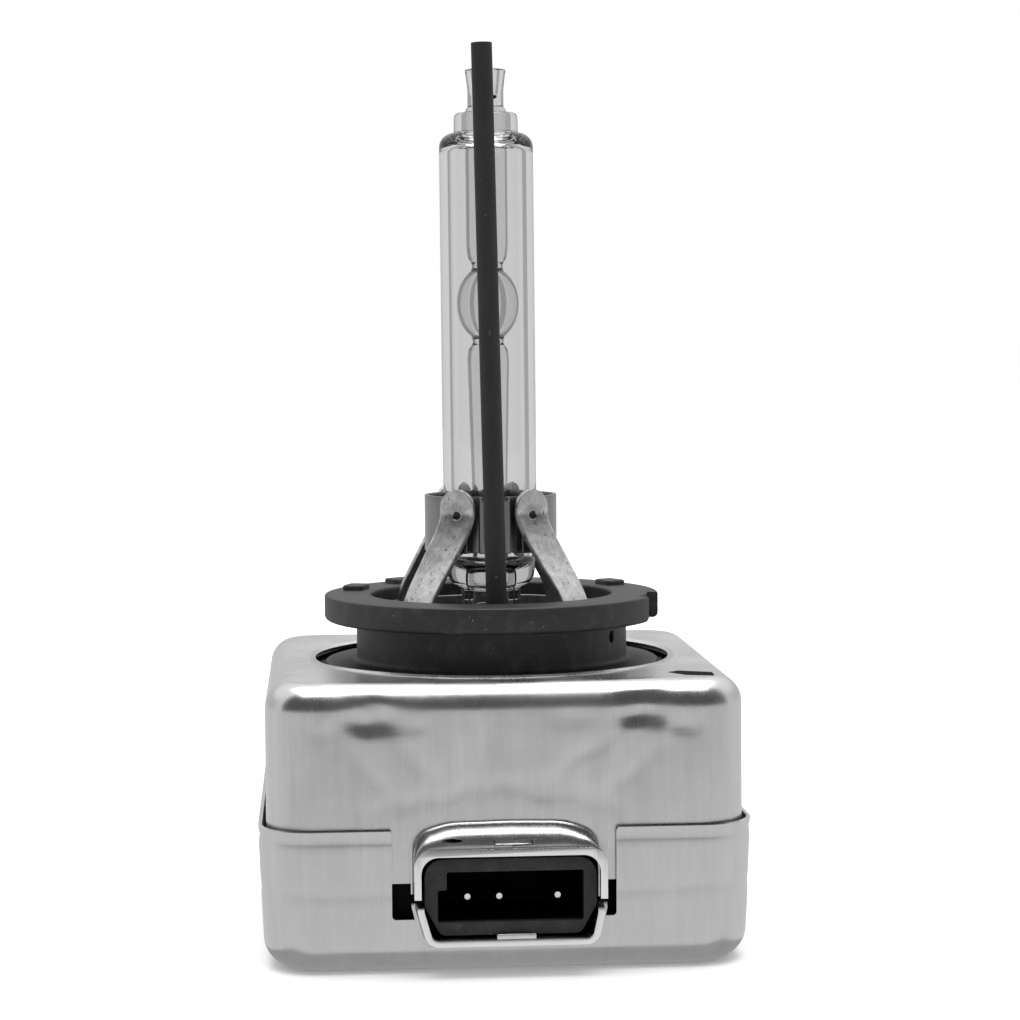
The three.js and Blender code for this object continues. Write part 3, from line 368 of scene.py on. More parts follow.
def soft_block(name, low, high, corner, edge, steps=6):
    """A box with rounded upright corners and a rounded edge at its top and bottom."""
    half = (Vector(high) - Vector(low)) / 2
    middle = (Vector(high) + Vector(low)) / 2
    levels = [(edge * (1 - math.cos(a)), -half.z + edge * (1 - math.sin(a)))
              for a in (math.radians(90 * i / steps) for i in range(steps, -1, -1))]
    rings = []
    for inset, z in levels + [(inset, -z) for inset, z in reversed(levels)]:
        x, y, r = half.x - inset, half.y - inset, max(corner - inset, 0.02 * MM)
        outline = rounded([(-x, -y), (x, -y), (x, y), (-x, y)], r, steps=steps)
        rings.append([(middle.x + a, middle.y + b, middle.z + z) for a, b in outline])
    return outward(lofted(name, rings))


def outward(obj):
    """Welds repeated points of a closed body and turns every face outwards."""
    mesh = bmesh.new()
    mesh.from_mesh(obj.data)
    bmesh.ops.remove_doubles(mesh, verts=mesh.verts, dist=0.001 * MM)
    bmesh.ops.recalc_face_normals(mesh, faces=mesh.faces)
    mesh.to_mesh(obj.data)
    mesh.free()
    return obj


def settled(obj):
    """Applies the modifiers of an object to its mesh."""
    graph = bpy.context.evaluated_depsgraph_get()
    mesh = bpy.data.meshes.new_from_object(obj.evaluated_get(graph))
    obj.modifiers.clear()
    obj.data = mesh
    return obj


def thickened(obj, thickness):
    """Gives a skin its thickness on the inner side."""
    wall = obj.modifiers.new("wall", "SOLIDIFY")
    wall.thickness = thickness
    wall.offset = -1
    wall.use_even_offset = True
    return settled(obj)


def combined(obj, operation, *tools):
    """Cuts tools out of a body or joins them to it, and removes the tools."""
    for tool in tools:
        step = obj.modifiers.new(operation, "BOOLEAN")
        step.operation = operation
        step.solver = "EXACT"
        step.object = tool
    settled(obj)
    for tool in tools:
        bpy.data.objects.remove(tool)
    return obj


def merged(obj, *others):
    """Joins the meshes of several skins into one object without cutting them."""
    mesh = bmesh.new()
    for source in (obj, *others):
        mesh.from_mesh(source.data)
    mesh.to_mesh(obj.data)
    mesh.free()
    for source in others:
        bpy.data.objects.remove(source)
    return obj


def eased(obj, width, angle=38, segments=2):
    """Breaks the sharp edges."""
    step = obj.modifiers.new("edge", "BEVEL")
    step.width = width
    step.segments = segments
    step.limit_method = "ANGLE"
    step.angle_limit = math.radians(angle)
    step.use_clamp_overlap = True
    return settled(obj)


def moved(obj, shift):
    """Moves each vertex by what shift(position, normal) gives."""
    mesh = obj.data
    normals = [v.vector.copy() for v in mesh.vertex_normals]
    for vertex, normal in zip(mesh.vertices, normals):
        vertex.co = vertex.co + shift(vertex.co.copy(), normal)
    mesh.update()
    return obj


def wire(name, points, radius):
    """A round wire along a smooth curve, with closed ends."""
    curve = bpy.data.curves.new(name, "CURVE")
    curve.dimensions = "3D"
    curve.bevel_depth = radius
    curve.bevel_resolution = 6
    curve.use_fill_caps = True
    line = smooth_line(points, 40)
    spline = curve.splines.new("POLY")
    spline.points.add(len(line) - 1)
    for place, point in zip(spline.points, line):
        place.co = (*point, 1.0)
    source = bpy.data.objects.new(name, curve)
    bpy.context.scene.collection.objects.link(source)
    graph = bpy.context.evaluated_depsgraph_get()
    mesh = bpy.data.meshes.new_from_object(source.evaluated_get(graph))
    bpy.data.objects.remove(source)
    obj = bpy.data.objects.new(name, mesh)
    bpy.context.scene.collection.objects.link(obj)
    return obj


def handed_over(obj, material, slot, *nodes, angle=32):
    """Shades a finished piece, gives it its material and puts it in its nodes' place."""
    obj.data.shade_smooth()
    obj.data.set_sharp_from_angle(angle=math.radians(angle))
    obj.data.materials.clear()
    obj.data.materials.append(material)
    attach(obj, BODY)
    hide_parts(*nodes)
    return obj


# ---------------------------------------------------------------- shader maths

class Term:
    """A value in a shader. Sums, differences and products of terms add Math nodes."""

    def __init__(self, graph, socket):
        self.graph = graph
        self.socket = socket

    def combine(self, operation, first, second):
        return self.graph.node("ShaderNodeMath", {"operation": operation}, {0: first, 1: second})

    def __add__(self, other):
        return self.combine("ADD", self, other)

    def __radd__(self, other):
        return self.combine("ADD", other, self)

    def __sub__(self, other):
        return self.combine("SUBTRACT", self, other)

    def __rsub__(self, other):
        return self.combine("SUBTRACT", other, self)

    def __mul__(self, other):
        return self.combine("MULTIPLY", self, other)

    def __rmul__(self, other):
        return self.combine("MULTIPLY", other, self)

    def __abs__(self):
        return self.graph.node("ShaderNodeMath", {"operation": "ABSOLUTE"}, {0: self})


class Graph:
    """The nodes of one material."""

    def __init__(self, name):
        self.material = bpy.data.materials.new(name)
        self.material.use_nodes = True
        self.tree = self.material.node_tree
        self.tree.nodes.clear()
        self.end = self.tree.nodes.new("ShaderNodeOutputMaterial")
        self.place = self.node("ShaderNodeTexCoord", output="Object")

    def node(self, kind, settings=None, inputs=None, output=0):
        """Adds a node with its settings, then the values or links of its sockets."""
        node = self.tree.nodes.new(kind)
        for name, value in (settings or {}).items():
            setattr(node, name, value)
        for name, value in (inputs or {}).items():
            if isinstance(value, Term):
                self.tree.links.new(value.socket, node.inputs[name])
            else:
                node.inputs[name].default_value = value
        return Term(self, node.outputs[output])

    def clouds(self, size, stretch=(1, 1, 1), detail=3.0, roughness=0.5):
        """Noise with features of a size in metres, drawn out along the axes below 1."""
        place = self.node("ShaderNodeMapping", None, {"Vector": self.place, "Scale": stretch})
        return self.node("ShaderNodeTexNoise", None, {
            "Vector": place, "Scale": 1 / size, "Detail": detail, "Roughness": roughness,
        })

    def along(self, axis):
        """How far a point lies along an axis of the object."""
        return self.node("ShaderNodeSeparateXYZ", None, {0: self.place}, output="XYZ".index(axis))

    def grains(self, size):
        """Distance from scattered points that lie about a size apart."""
        return self.node("ShaderNodeTexVoronoi", None, {"Vector": self.place, "Scale": 1 / size})

    def step(self, value, low, high):
        """0 below low, 1 above high and a slope between them."""
        return self.node("ShaderNodeMapRange", {"clamp": True}, {
            "Value": value, "From Min": low, "From Max": high,
        })

    def tint(self, mask, first, second):
        """The first colour where the mask is 0, the second where it is 1."""
        inputs = {0: mask, 6: first, 7: second}
        return self.node("ShaderNodeMix", {"data_type": "RGBA"}, inputs, output=2)

    def relief(self, height, depth, strength=1.0):
        return self.node("ShaderNodeBump", None, {
            "Height": height, "Distance": depth, "Strength": strength,
        })

    def absorb(self, density):
        """Lets the inside of a clear body swallow light, so that its rims look darker."""
        inside = self.node("ShaderNodeVolumeAbsorption", None, {
            "Color": grey(0.0), "Density": density,
        })
        self.tree.links.new(inside.socket, self.end.inputs["Volume"])

    def show(self, shader):
        self.tree.links.new(shader.socket, self.end.inputs["Surface"])
        return self.material

    def finish(self, **inputs):
        named = {name.replace("_", " "): value for name, value in inputs.items()}
        return self.show(self.node("ShaderNodeBsdfPrincipled", None, named))


def grey(value, warmth=0.0):
    return (value * (1 + warmth), value, value * (1 - warmth), 1.0)


# ---------------------------------------------------------------- materials

def drawn_aluminium():
    """Deep-drawn sheet: upright draw lines, cloudy handling marks, a slightly rough skin and a
    painted highlight, light grey along the front rim of the connector frame."""
    g = Graph("drawn_aluminium")
    lines = g.clouds(0.22 * MM, (1, 1, 0.03), 3.0, 0.6)
    streaks = g.clouds(1.1 * MM, (1, 1, 0.09), 3.0, 0.55)
    clouds = g.clouds(6 * MM, (1, 1, 0.8), 4.0, 0.6)
    wear = g.step(clouds, 0.4, 0.65)
    colour = g.tint(0.5 * streaks + 0.5 * clouds, grey(0.53), grey(0.76))
    # painted highlight: the frame's front rim, nearest the front in Y, is coloured light grey
    edge = 1 - g.step(g.along("Y"), SHIELD_LOW.y + 0.03 * MM, SHIELD_LOW.y + 0.16 * MM)
    return g.finish(
        Base_Color=g.tint(edge, colour, grey(0.93)),
        Metallic=1.0,
        Roughness=0.19 + 0.12 * lines + 0.1 * wear,
        Normal=g.relief(0.7 * lines + 0.3 * streaks, 0.006 * MM, 0.45),
    )


def black_moulding(name, shine, painted_shade_from=None):
    """Fibre-filled moulding: matt, with fine pale specks and dusty patches. When given a distance
    along Y, it is painted near black as shade behind it, and mixed a little towards grey in front of
    it."""
    g = Graph(name)
    grain = g.clouds(0.18 * MM, detail=4.0, roughness=0.65)
    dust = g.step(g.clouds(1.6 * MM, detail=5.0, roughness=0.7), 0.48, 0.75)
    specks = 1 - g.step(g.grains(0.5 * MM), 0.06, 0.1)
    kept = g.step(g.clouds(0.9 * MM, detail=1.0), 0.52, 0.6)
    colour = g.tint(dust, grey(0.012), grey(0.036))
    colour = g.tint(specks * kept, colour, grey(0.3))
    # painted shade: behind the given distance along Y the colour goes near black, as shade in the
    # socket's cavity
    if painted_shade_from is not None:
        painted_shade = g.step(g.along("Y"), painted_shade_from, painted_shade_from + 0.8 * MM)
        colour = g.tint(painted_shade, g.tint(0.4, colour, grey(0.045)), grey(0.0015))
    return g.finish(
        Base_Color=colour,
        Roughness=0.46 + 0.16 * grain + 0.1 * dust,
        Normal=g.relief(grain, 0.02 * MM, 0.55),
        Specular_IOR_Level=shine,
    )


def pin_metal():
    """A contact with a bright flat tip, whose shank is painted near black as shade inside the socket.
    """
    g = Graph("pin_metal")
    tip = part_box(PINS[0])[0].y
    mottle = g.clouds(0.3 * MM)
    # painted shade: behind the flat tip the pin is near black, as in the socket's shadow
    shank = g.step(g.along("Y"), tip + 0.02 * MM, tip + 0.06 * MM)
    return g.finish(
        Base_Color=g.tint(shank, grey(0.92), g.tint(mottle, grey(0.01), grey(0.03))),
        Metallic=1.0,
        Roughness=0.22 + 0.3 * shank,
        Normal=g.relief(mottle, 0.003 * MM, 0.4),
    )


def strip_steel(size):
    """Bright rolled strip with stains, rubbed patches, faint scratches and scorched welds."""
    g = Graph("strip_steel")
    stains = g.clouds(0.9 * MM, detail=5.0, roughness=0.7)
    rolled = g.clouds(0.12 * MM, (1, 1, 0.12), 2.0)
    scratches = 1 - g.step(g.clouds(0.3 * MM, (1.0, 1.0, 0.25), 2.0), 0.3, 0.36)
    colour = g.tint(g.step(stains, 0.35, 0.68), grey(0.5), grey(0.84))
    colour = g.tint(scratches, colour, grey(0.25))
    angle = math.radians(size.head_angle)
    off_x = abs(g.along("X")) - leg_radius(size) * math.sin(angle)
    off_y = abs(g.along("Y")) - leg_radius(size) * math.cos(angle)
    off_z = g.along("Z") - (LEG_HIGH.z - size.weld_drop)
    off = off_x * off_x + off_y * off_y + off_z * off_z
    clear = g.step(off, (0.9 * size.weld) ** 2, (1.15 * size.weld) ** 2)
    halo = g.step(off, (1.3 * size.weld) ** 2, (3 * size.weld) ** 2)
    colour = g.tint(halo, g.tint(0.5, colour, grey(0.2)), colour)
    colour = g.tint(clear, grey(0.05), colour)
    return g.finish(
        Base_Color=colour,
        Metallic=1.0,
        Roughness=0.3 + 0.16 * stains,
        Normal=g.relief(0.6 * rolled + 0.4 * stains, 0.01 * MM, 0.6),
    )


def clamp_steel():
    """Darker annealed strip with upright rolling lines."""
    g = Graph("clamp_steel")
    lines = g.clouds(0.35 * MM, (1, 1, 0.05), 3.0)
    stains = g.clouds(1.4 * MM, detail=4.0)
    return g.finish(
        Base_Color=g.tint(0.6 * lines + 0.4 * stains, grey(0.11), grey(0.38)),
        Metallic=1.0,
        Roughness=0.24 + 0.14 * stains,
        Normal=g.relief(lines, 0.008 * MM, 0.5),
    )


def clear_quartz():
    g = Graph("clear_quartz")
    flow = g.clouds(3.0 * MM, (1, 1, 0.15), 2.0)
    g.absorb(QUARTZ_DENSITY)
    return g.finish(
        Base_Color=grey(0.985),
        Roughness=0.0,
        IOR=1.458,
        Transmission_Weight=1.0,
        Normal=g.relief(flow, 0.02 * MM, 0.25),
    )


def refractory():
    """Tungsten and molybdenum, drawn and slightly blued by heat."""
    g = Graph("refractory_metal")
    lines = g.clouds(0.08 * MM, (1, 1, 0.1), 2.0)
    return g.finish(
        Base_Color=g.tint(lines, grey(0.3), grey(0.48)),
        Metallic=1.0,
        Roughness=0.3 + 0.2 * lines,
        Normal=g.relief(lines, 0.004 * MM, 0.4),
    )


def dark_ceramic():
    """Matt sintered sleeve with a fine grain, pores and a few bright specks."""
    g = Graph("dark_ceramic")
    grain = g.clouds(0.09 * MM, detail=4.0, roughness=0.6)
    bands = g.clouds(1.2 * MM, (1, 1, 0.25), 3.0)
    specks = 1 - g.step(g.grains(0.55 * MM), 0.05, 0.09)
    kept = g.step(g.clouds(1.3 * MM, detail=1.0), 0.56, 0.62)
    colour = g.tint(0.5 * grain + 0.5 * bands, grey(0.005), grey(0.018))
    colour = g.tint(specks * kept, colour, grey(0.35))
    return g.finish(
        Base_Color=colour,
        Roughness=0.62 + 0.14 * grain,
        Normal=g.relief(grain, 0.012 * MM, 0.6),
    )


def cad_finish(name, dark, light, size, rough, metal=0.0, depth=0.01):
    """A plain finish for the igniter's inner pieces, mottled between two colours."""
    g = Graph(name)
    mottle = g.clouds(size * MM, detail=3.0)
    return g.finish(
        Base_Color=g.tint(mottle, (*dark, 1.0), (*light, 1.0)),
        Metallic=metal,
        Roughness=rough + 0.12 * mottle,
        Normal=g.relief(mottle, depth * MM, 0.5),
    )


def enamelled_copper():
    """Layers of fine wire that show as narrow rings round the bobbin."""
    g = Graph("enamelled_copper")
    turns = g.node("ShaderNodeTexWave", {"bands_direction": "X"}, {
        "Vector": g.place, "Scale": 320.0, "Distortion": 0.4, "Detail": 1.0,
    }, output=1)
    mottle = g.clouds(1.5 * MM)
    return g.finish(
        Base_Color=g.tint(0.6 * turns + 0.4 * mottle, (0.3, 0.09, 0.035, 1), (0.62, 0.24, 0.1, 1)),
        Metallic=0.85,
        Roughness=0.28 + 0.2 * mottle,
        Normal=g.relief(turns, 0.04 * MM, 0.8),
    )


MATERIALS = {}


def make_materials(scene):
    MATERIALS.update({
        "drawn_aluminium": drawn_aluminium(),
        "black_moulding": black_moulding("black_moulding", 0.55),
        # the socket's moulding carries painted shade: near black from about 0.3 mm behind its front
        "socket_moulding": black_moulding("socket_moulding", 0.08, HOUSING_LOW.y + 0.3 * MM),
        "pin_metal": pin_metal(),
        "strip_steel": strip_steel(scene.bulb_mount),
        "clamp_steel": clamp_steel(),
        "clear_glass": clear_quartz(),
        "refractory_metal": refractory(),
        "dark_ceramic": dark_ceramic(),
        "enamelled_copper": enamelled_copper(),
        "contact_metal": cad_finish(
            "contact_metal", (0.62, 0.6, 0.55), (0.82, 0.8, 0.76), 0.4, 0.16, 1.0, 0.003),
        "dark_steel": cad_finish(
            "dark_steel", (0.16, 0.16, 0.16), (0.34, 0.34, 0.34), 0.8, 0.32, 1.0),
        "ferrite": cad_finish(
            "ferrite", (0.012, 0.012, 0.014), (0.03, 0.03, 0.033), 0.5, 0.5),
        "bobbin_plastic": cad_finish(
            "bobbin_plastic", (0.42, 0.36, 0.26), (0.52, 0.46, 0.35), 2.0, 0.45),
        "white_ceramic": cad_finish(
            "white_ceramic", (0.7, 0.68, 0.64), (0.8, 0.79, 0.76), 0.6, 0.5),
        "film_capacitor": cad_finish(
            "film_capacitor", (0.24, 0.03, 0.02), (0.33, 0.05, 0.03), 1.5, 0.25),
        "casting_resin": cad_finish(
            "casting_resin", (0.05, 0.04, 0.03), (0.09, 0.075, 0.055), 3.0, 0.25, 0.0, 0.03),
    })


# ---------------------------------------------------------------- case

def pressed(point, centre, radii, depth):
    """How deep a soft dent goes at a point."""
    far = sum(((point[i] - centre[i]) / radii[i]) ** 2 for i in range(3))
    return depth * (1 - far) ** 2 if far < 1 else 0.0


def creased(point, start, end, width, depth):
    """How deep a soft crease in the front wall goes at a point. It runs between two places
    given by X and Z, and fades at both."""
    here = Vector((point.x, point.z))
    start, end = Vector(start) * MM, Vector(end) * MM
    share = (here - start).dot(end - start) / (end - start).length_squared
    if not 0 < share < 1:
        return 0.0
    off = (here - start.lerp(end, share)).length / width
    return depth * math.exp(-off * off) * math.sqrt(math.sin(math.pi * share))


def sheet_ripple(point, height):
    """Soft waves that forming and handling leave in a thin sheet."""
    wave = noise.noise(Vector((point.x, point.y, point.z * 0.7)) / (6.5 * MM))
    fine = noise.noise(Vector((point.x * 1.5, point.y * 1.5, point.z * 0.5)) / (2.6 * MM))
    return height * (wave + 0.25 * fine)


def upper_shield(size, joint):
    half, top = SHIELD_HIGH.x, SHIELD_HIGH.z
    wall_top = top - size.bend
    wall_rows = 32
    levels = [(0.0, size.skirt + (wall_top - size.skirt) * i / wall_rows, 0.0)
              for i in range(wall_rows)]
    for i in range(15):
        angle = math.radians(90 * i / 14)
        levels.append((size.bend * (1 - math.cos(angle)), wall_top + size.bend * math.sin(angle), 0))
    levels += [(size.bend, top, i / 8) for i in range(1, 9)]
    levels.append((size.bend, top - 0.08 * MM, 1.0))
    rings = []
    for inset, z, share in levels:
        ring = square_loop(half - inset, size.corner - inset, z, 76, 16)
        for i, point in enumerate(ring):
            circle = Vector((point.x, point.y, 0)).normalized() * size.opening
            circle.z = z
            ring[i] = point.lerp(circle, share)
        rings.append(ring)
    can = lofted("upper_shield", rings, capped=False)
    front = -half

    def shift(point, normal):
        depth = sheet_ripple(point, size.ripple)
        if point.z < size.skirt + 2 * MM:
            depth = 0.0
        calm = 1 - 0.9 * smooth_step((point.z - wall_top) / (0.7 * size.bend))
        depth = max(depth, 0.0) * calm + size.ripple
        warped = point + 0.9 * MM * Vector((
            noise.noise(point / (2.4 * MM)), 0, noise.noise((point + Vector((1, 0, 0))) / (2.4 * MM)),
        ))
        for centre_x, centre_z, radius_x, radius_z, share in DENTS:
            centre = (centre_x * MM, front, centre_z * MM)
            radii = (radius_x * MM, 4 * MM, radius_z * MM)
            depth += pressed(warped, centre, radii, size.dent_depth * share)
        if point.y < front + 1 * MM:
            for start, end in CREASES:
                depth += creased(warped, start, end, size.crease_width, size.crease_depth)
        return -normal * depth

    moved(can, shift)
    thickened(can, size.sheet)
    mouth = hood_outline(joint, joint.crest, 1.0, joint.root * 0.9)
    mouth = [(mouth[0][0], 0.0), *mouth, (mouth[-1][0], 0.0)]
    gate = prism("gate", mouth, "Y", SHIELD_LOW.y - 2 * MM, front + 3 * MM)
    vent = prism("vent", rounded([
        (14.9 * MM, -15.4 * MM), (16.1 * MM, -14.3 * MM), (19.0 * MM, -15.8 * MM),
        (18.9 * MM, -18.4 * MM), (16.4 * MM, -17.6 * MM),
    ], 0.25 * MM), "Z", top - 2 * MM, top + 1 * MM)
    combined(can, "DIFFERENCE", gate, vent)
    return merged(can, connector_hood(joint, front))


def hood_outline(joint, top, arch, grow):
    """The hood from the front, from its lower left end over the roof to its lower right end.
    arch from 0 to 1 drops the shoulders below the crest."""
    half = joint.half + grow
    right = half - 0.55 * MM * arch
    roof = top + grow
    shoulder = roof - 1.05 * MM * arch
    flat = half - 3.1 * MM
    points = [
        (-half, 7.15 * MM), (-half, shoulder), (-flat, roof - 0.1 * MM * arch), (0.2 * MM, roof),
        (flat - 0.4 * MM * arch, roof - 0.1 * MM * arch), (right, shoulder - 0.2 * MM * arch),
        (right, 6.95 * MM),
    ]
    corner = joint.corner + grow
    return rounded(points, [0, corner, 7 * MM, 30 * MM, 7 * MM, corner, 0], closed=False, steps=9)


def hood_body(name, joint, stations, wall):
    """A closed body that follows the hood's outline, wall inside it. A station is a distance
    along Y, the roof's height, its arch and how much the outline grows."""
    rings = []
    for y, top, arch, grow in stations:
        ring = [Vector((x, y, z)) for x, z in hood_outline(joint, top, arch, grow - wall)]
        for end in (ring[0], ring[-1]):
            end.z -= 3 * wall
        rings.append(ring)
    return outward(lofted(name, rings))


def connector_hood(joint, front):
    """The upper half of the connector frame: a roof that swells up to the can's front wall."""
    nose = SHIELD_LOW.y
    rise = joint.crest - joint.top

    def swell(start, end):
        stations = []
        for i in range(15):
            angle = math.radians(90 * i / 14)
            y = start + (end - start) * (1 - math.cos(angle)) ** 1.15
            stations.append((y, joint.top + rise * math.sin(angle) ** 1.1, math.sin(angle), 0.0))
        return stations

    root_start = front - joint.root
    outside = [(nose, joint.top, 0.0, 0.0), *swell(nose + joint.rim, root_start)]
    for i in range(1, 9):
        angle = math.radians(90 * i / 8)
        outside.append((root_start + joint.root * math.sin(angle), joint.crest, 1.0,
                        joint.root * (1 - math.cos(angle))))
    inside = [(nose - joint.wall, joint.top, 0.0, 0.0),
              *swell(nose + joint.rim + joint.wall, root_start + 0.5 * joint.wall),
              (front + 2 * joint.wall, joint.crest, 1.0, 0.0)]
    hood = hood_body("hood", joint, outside, 0.0)
    combined(hood, "DIFFERENCE", hood_body("throat", joint, inside, joint.wall))
    slit = prism("slit", rounded([
        (-6.7 * MM, 12.2 * MM), (-5.2 * MM, 12.05 * MM), (-3.5 * MM, 12.2 * MM),
        (-5.2 * MM, 12.42 * MM),
    ], 0.1 * MM), "Y", nose - 1 * MM, nose + 1.9 * MM)
    window = prism("window", rounded([
        (-1.45 * MM, 11.75 * MM), (1.95 * MM, 11.75 * MM), (1.95 * MM, 12.25 * MM),
        (-1.45 * MM, 12.25 * MM),
    ], 0.12 * MM), "Y", nose - 1 * MM, nose + 1.6 * MM)
    combined(hood, "DIFFERENCE", slit, window)
    eased(hood, 0.07 * MM, 50)
    tongue = soft_block(
        "tongue", (-1.5 * MM, nose + 1.1 * MM, joint.top - joint.wall - 0.2 * MM),
        (2.0 * MM, nose + 1.5 * MM, joint.top - joint.wall + 0.2 * MM), 0.08 * MM, 0.06 * MM, 3,
    )
    louvre = prism("louvre", [
        (nose + 0.55 * MM, 11.8 * MM), (nose + 1.3 * MM, 11.8 * MM), (nose + 1.3 * MM, 12.4 * MM),
    ], "X", -1.4 * MM, 1.9 * MM)
    return merged(hood, tongue, eased(outward(louvre), 0.06 * MM, 30))


def lip_outline(joint, grow):
    """The lower half of the frame from its upper right end, under the socket, to the left."""
    half = joint.half - 0.25 * MM + grow
    foot = joint.lip_foot + grow
    low = joint.lip_bottom - grow
    points = [
        (half, joint.lip_top - 0.15 * MM), (half, joint.lip_top - 0.7 * MM),
        (foot + 0.35 * MM, low), (-foot - 0.05 * MM, low), (-half, joint.lip_top - 0.3 * MM),
        (-half, joint.lip_top + 0.1 * MM),
    ]
    return rounded(points, [0, 1.0 * MM, 1.3 * MM, 1.3 * MM, 1.0 * MM, 0], closed=False, steps=8)

def connector_lip(joint, wall_y):
    nose = SHIELD_LOW.y
    rings = []
    for i in range(6):
        y = nose + (wall_y - joint.lip_root - nose) * i / 5
        rings.append([(x, y, z) for x, z in lip_outline(joint, 0.0)])
    for i in range(1, 9):
        angle = math.radians(90 * i / 8)
        y = wall_y - joint.lip_root * (1 - math.sin(angle))
        grow = joint.lip_root * (1 - math.cos(angle))
        rings.append([(x, y, min(z, joint.lip_top + 0.1 * MM)) for x, z in lip_outline(joint, grow)])
    lip = thickened(lofted("lip", rings, loop=False, capped=False), joint.wall)
    eased(lip, 0.07 * MM, 50)
    floor = joint.lip_bottom + joint.wall
    tongue = soft_block(
        "tongue", (-1.3 * MM, nose + 0.1 * MM, floor - 0.1 * MM),
        (2.2 * MM, nose + 0.45 * MM, floor + 0.45 * MM), 0.1 * MM, 0.08 * MM, 3,
    )
    return merged(lip, tongue)


def lower_cover(size, joint):
    rim_half, rim = COVER_HIGH.x, COVER_HIGH.z
    foot_half = rim_half - size.cover_flare
    bend = size.cover_bend
    levels = [(bend + (foot_half - bend) * share, 0.0) for share in (0.98, 0.75, 0.5, 0.25, 0.1)]
    for i in range(13):
        angle = math.radians(90 * i / 12)
        levels.append((bend * (1 - math.sin(angle)), bend * (1 - math.cos(angle))))
    rows = 26
    levels += [(0.0, bend + (rim - bend) * i / rows) for i in range(1, rows + 1)]
    rings = []
    for inset, z in levels:
        lean = size.cover_flare * (z / rim) ** 0.6
        half = foot_half - inset + lean
        corner = max(size.cover_corner - inset, half * 0.2 if inset > size.cover_corner else 0.3 * MM)
        rings.append(square_loop(half, min(corner, half * 0.98), z, 76, 16))
    tray = lofted("lower_cover", rings, capped=False)
    close_floor(tray, len(rings[0]))

    def shift(point, normal):
        if point.z < 0.1 * MM:
            return Vector((0, 0, 0))
        band = smooth_step((point.z - (rim - 1.5 * MM)) / (0.7 * MM))
        hem = smooth_step((point.z - (rim - 0.75 * MM)) / (0.5 * MM))
        inward = 0.1 * MM * band * (1 - hem)
        crease = noise.noise(Vector((point.x / (5 * MM), point.y / (5 * MM), 3.0)))
        line_z = 7.4 * MM + crease * 0.5 * MM
        inward += 0.06 * MM * math.exp(-((point.z - line_z) / (0.55 * MM)) ** 2)
        inward += max(sheet_ripple(point + Vector((0, 0, 0.1)), size.ripple), 0.0)
        fade = smooth_step(point.z / (1.5 * MM))
        return -normal * inward * fade

    moved(tray, shift)
    thickened(tray, size.cover_sheet)
    wall_y = -(foot_half + size.cover_flare * 0.55)
    gate = prism("gate", rounded([
        (-size.cut_left, size.cut_sill), (size.cut_right, size.cut_sill),
        (size.cut_right, rim), (size.cut_right + 1.6 * MM, rim + 1.0 * MM),
        (-size.cut_left - 1.2 * MM, rim + 1.0 * MM), (-size.cut_left, rim),
    ], [0.35 * MM, 0.35 * MM, 0.9 * MM, 0, 0, 0.7 * MM]), "Y", -rim_half - 3 * MM, -rim_half + 5 * MM)
    mouth = lip_outline(joint, joint.lip_root * 0.9)
    mouth = [(joint.half, rim), *mouth, (-joint.half, rim)]
    throat = prism("throat", mouth, "Y", -rim_half - 3 * MM, -rim_half + 5 * MM)
    combined(tray, "DIFFERENCE", gate, throat)
    return merged(tray, connector_lip(joint, wall_y))


def close_floor(obj, count):
    """Fills the small square left in the middle of the tray's floor."""
    mesh = bmesh.new()
    mesh.from_mesh(obj.data)
    mesh.verts.ensure_lookup_table()
    mesh.faces.new([mesh.verts[i] for i in range(count - 1, -1, -1)])
    mesh.to_mesh(obj.data)
    mesh.free()


# ---------------------------------------------------------------- mouldings

def socket_outline(joint, inset):
    half = joint.half - joint.wall - joint.socket_gap - inset
    top = joint.top - joint.wall - joint.socket_gap - inset
    low = joint.lip_bottom + joint.wall + joint.socket_gap + inset
    foot = joint.lip_foot - joint.wall - joint.socket_gap - 0.2 * MM - inset
    corner = max(1.6 * MM - inset, 0.3 * MM)
    points = [(-half, top), (-half, joint.lip_top), (-foot, low), (foot, low),
              (half, joint.lip_top), (half, top)]
    return rounded(points, [corner, 1 * MM, 0.8 * MM, 0.8 * MM, 1 * MM, corner])


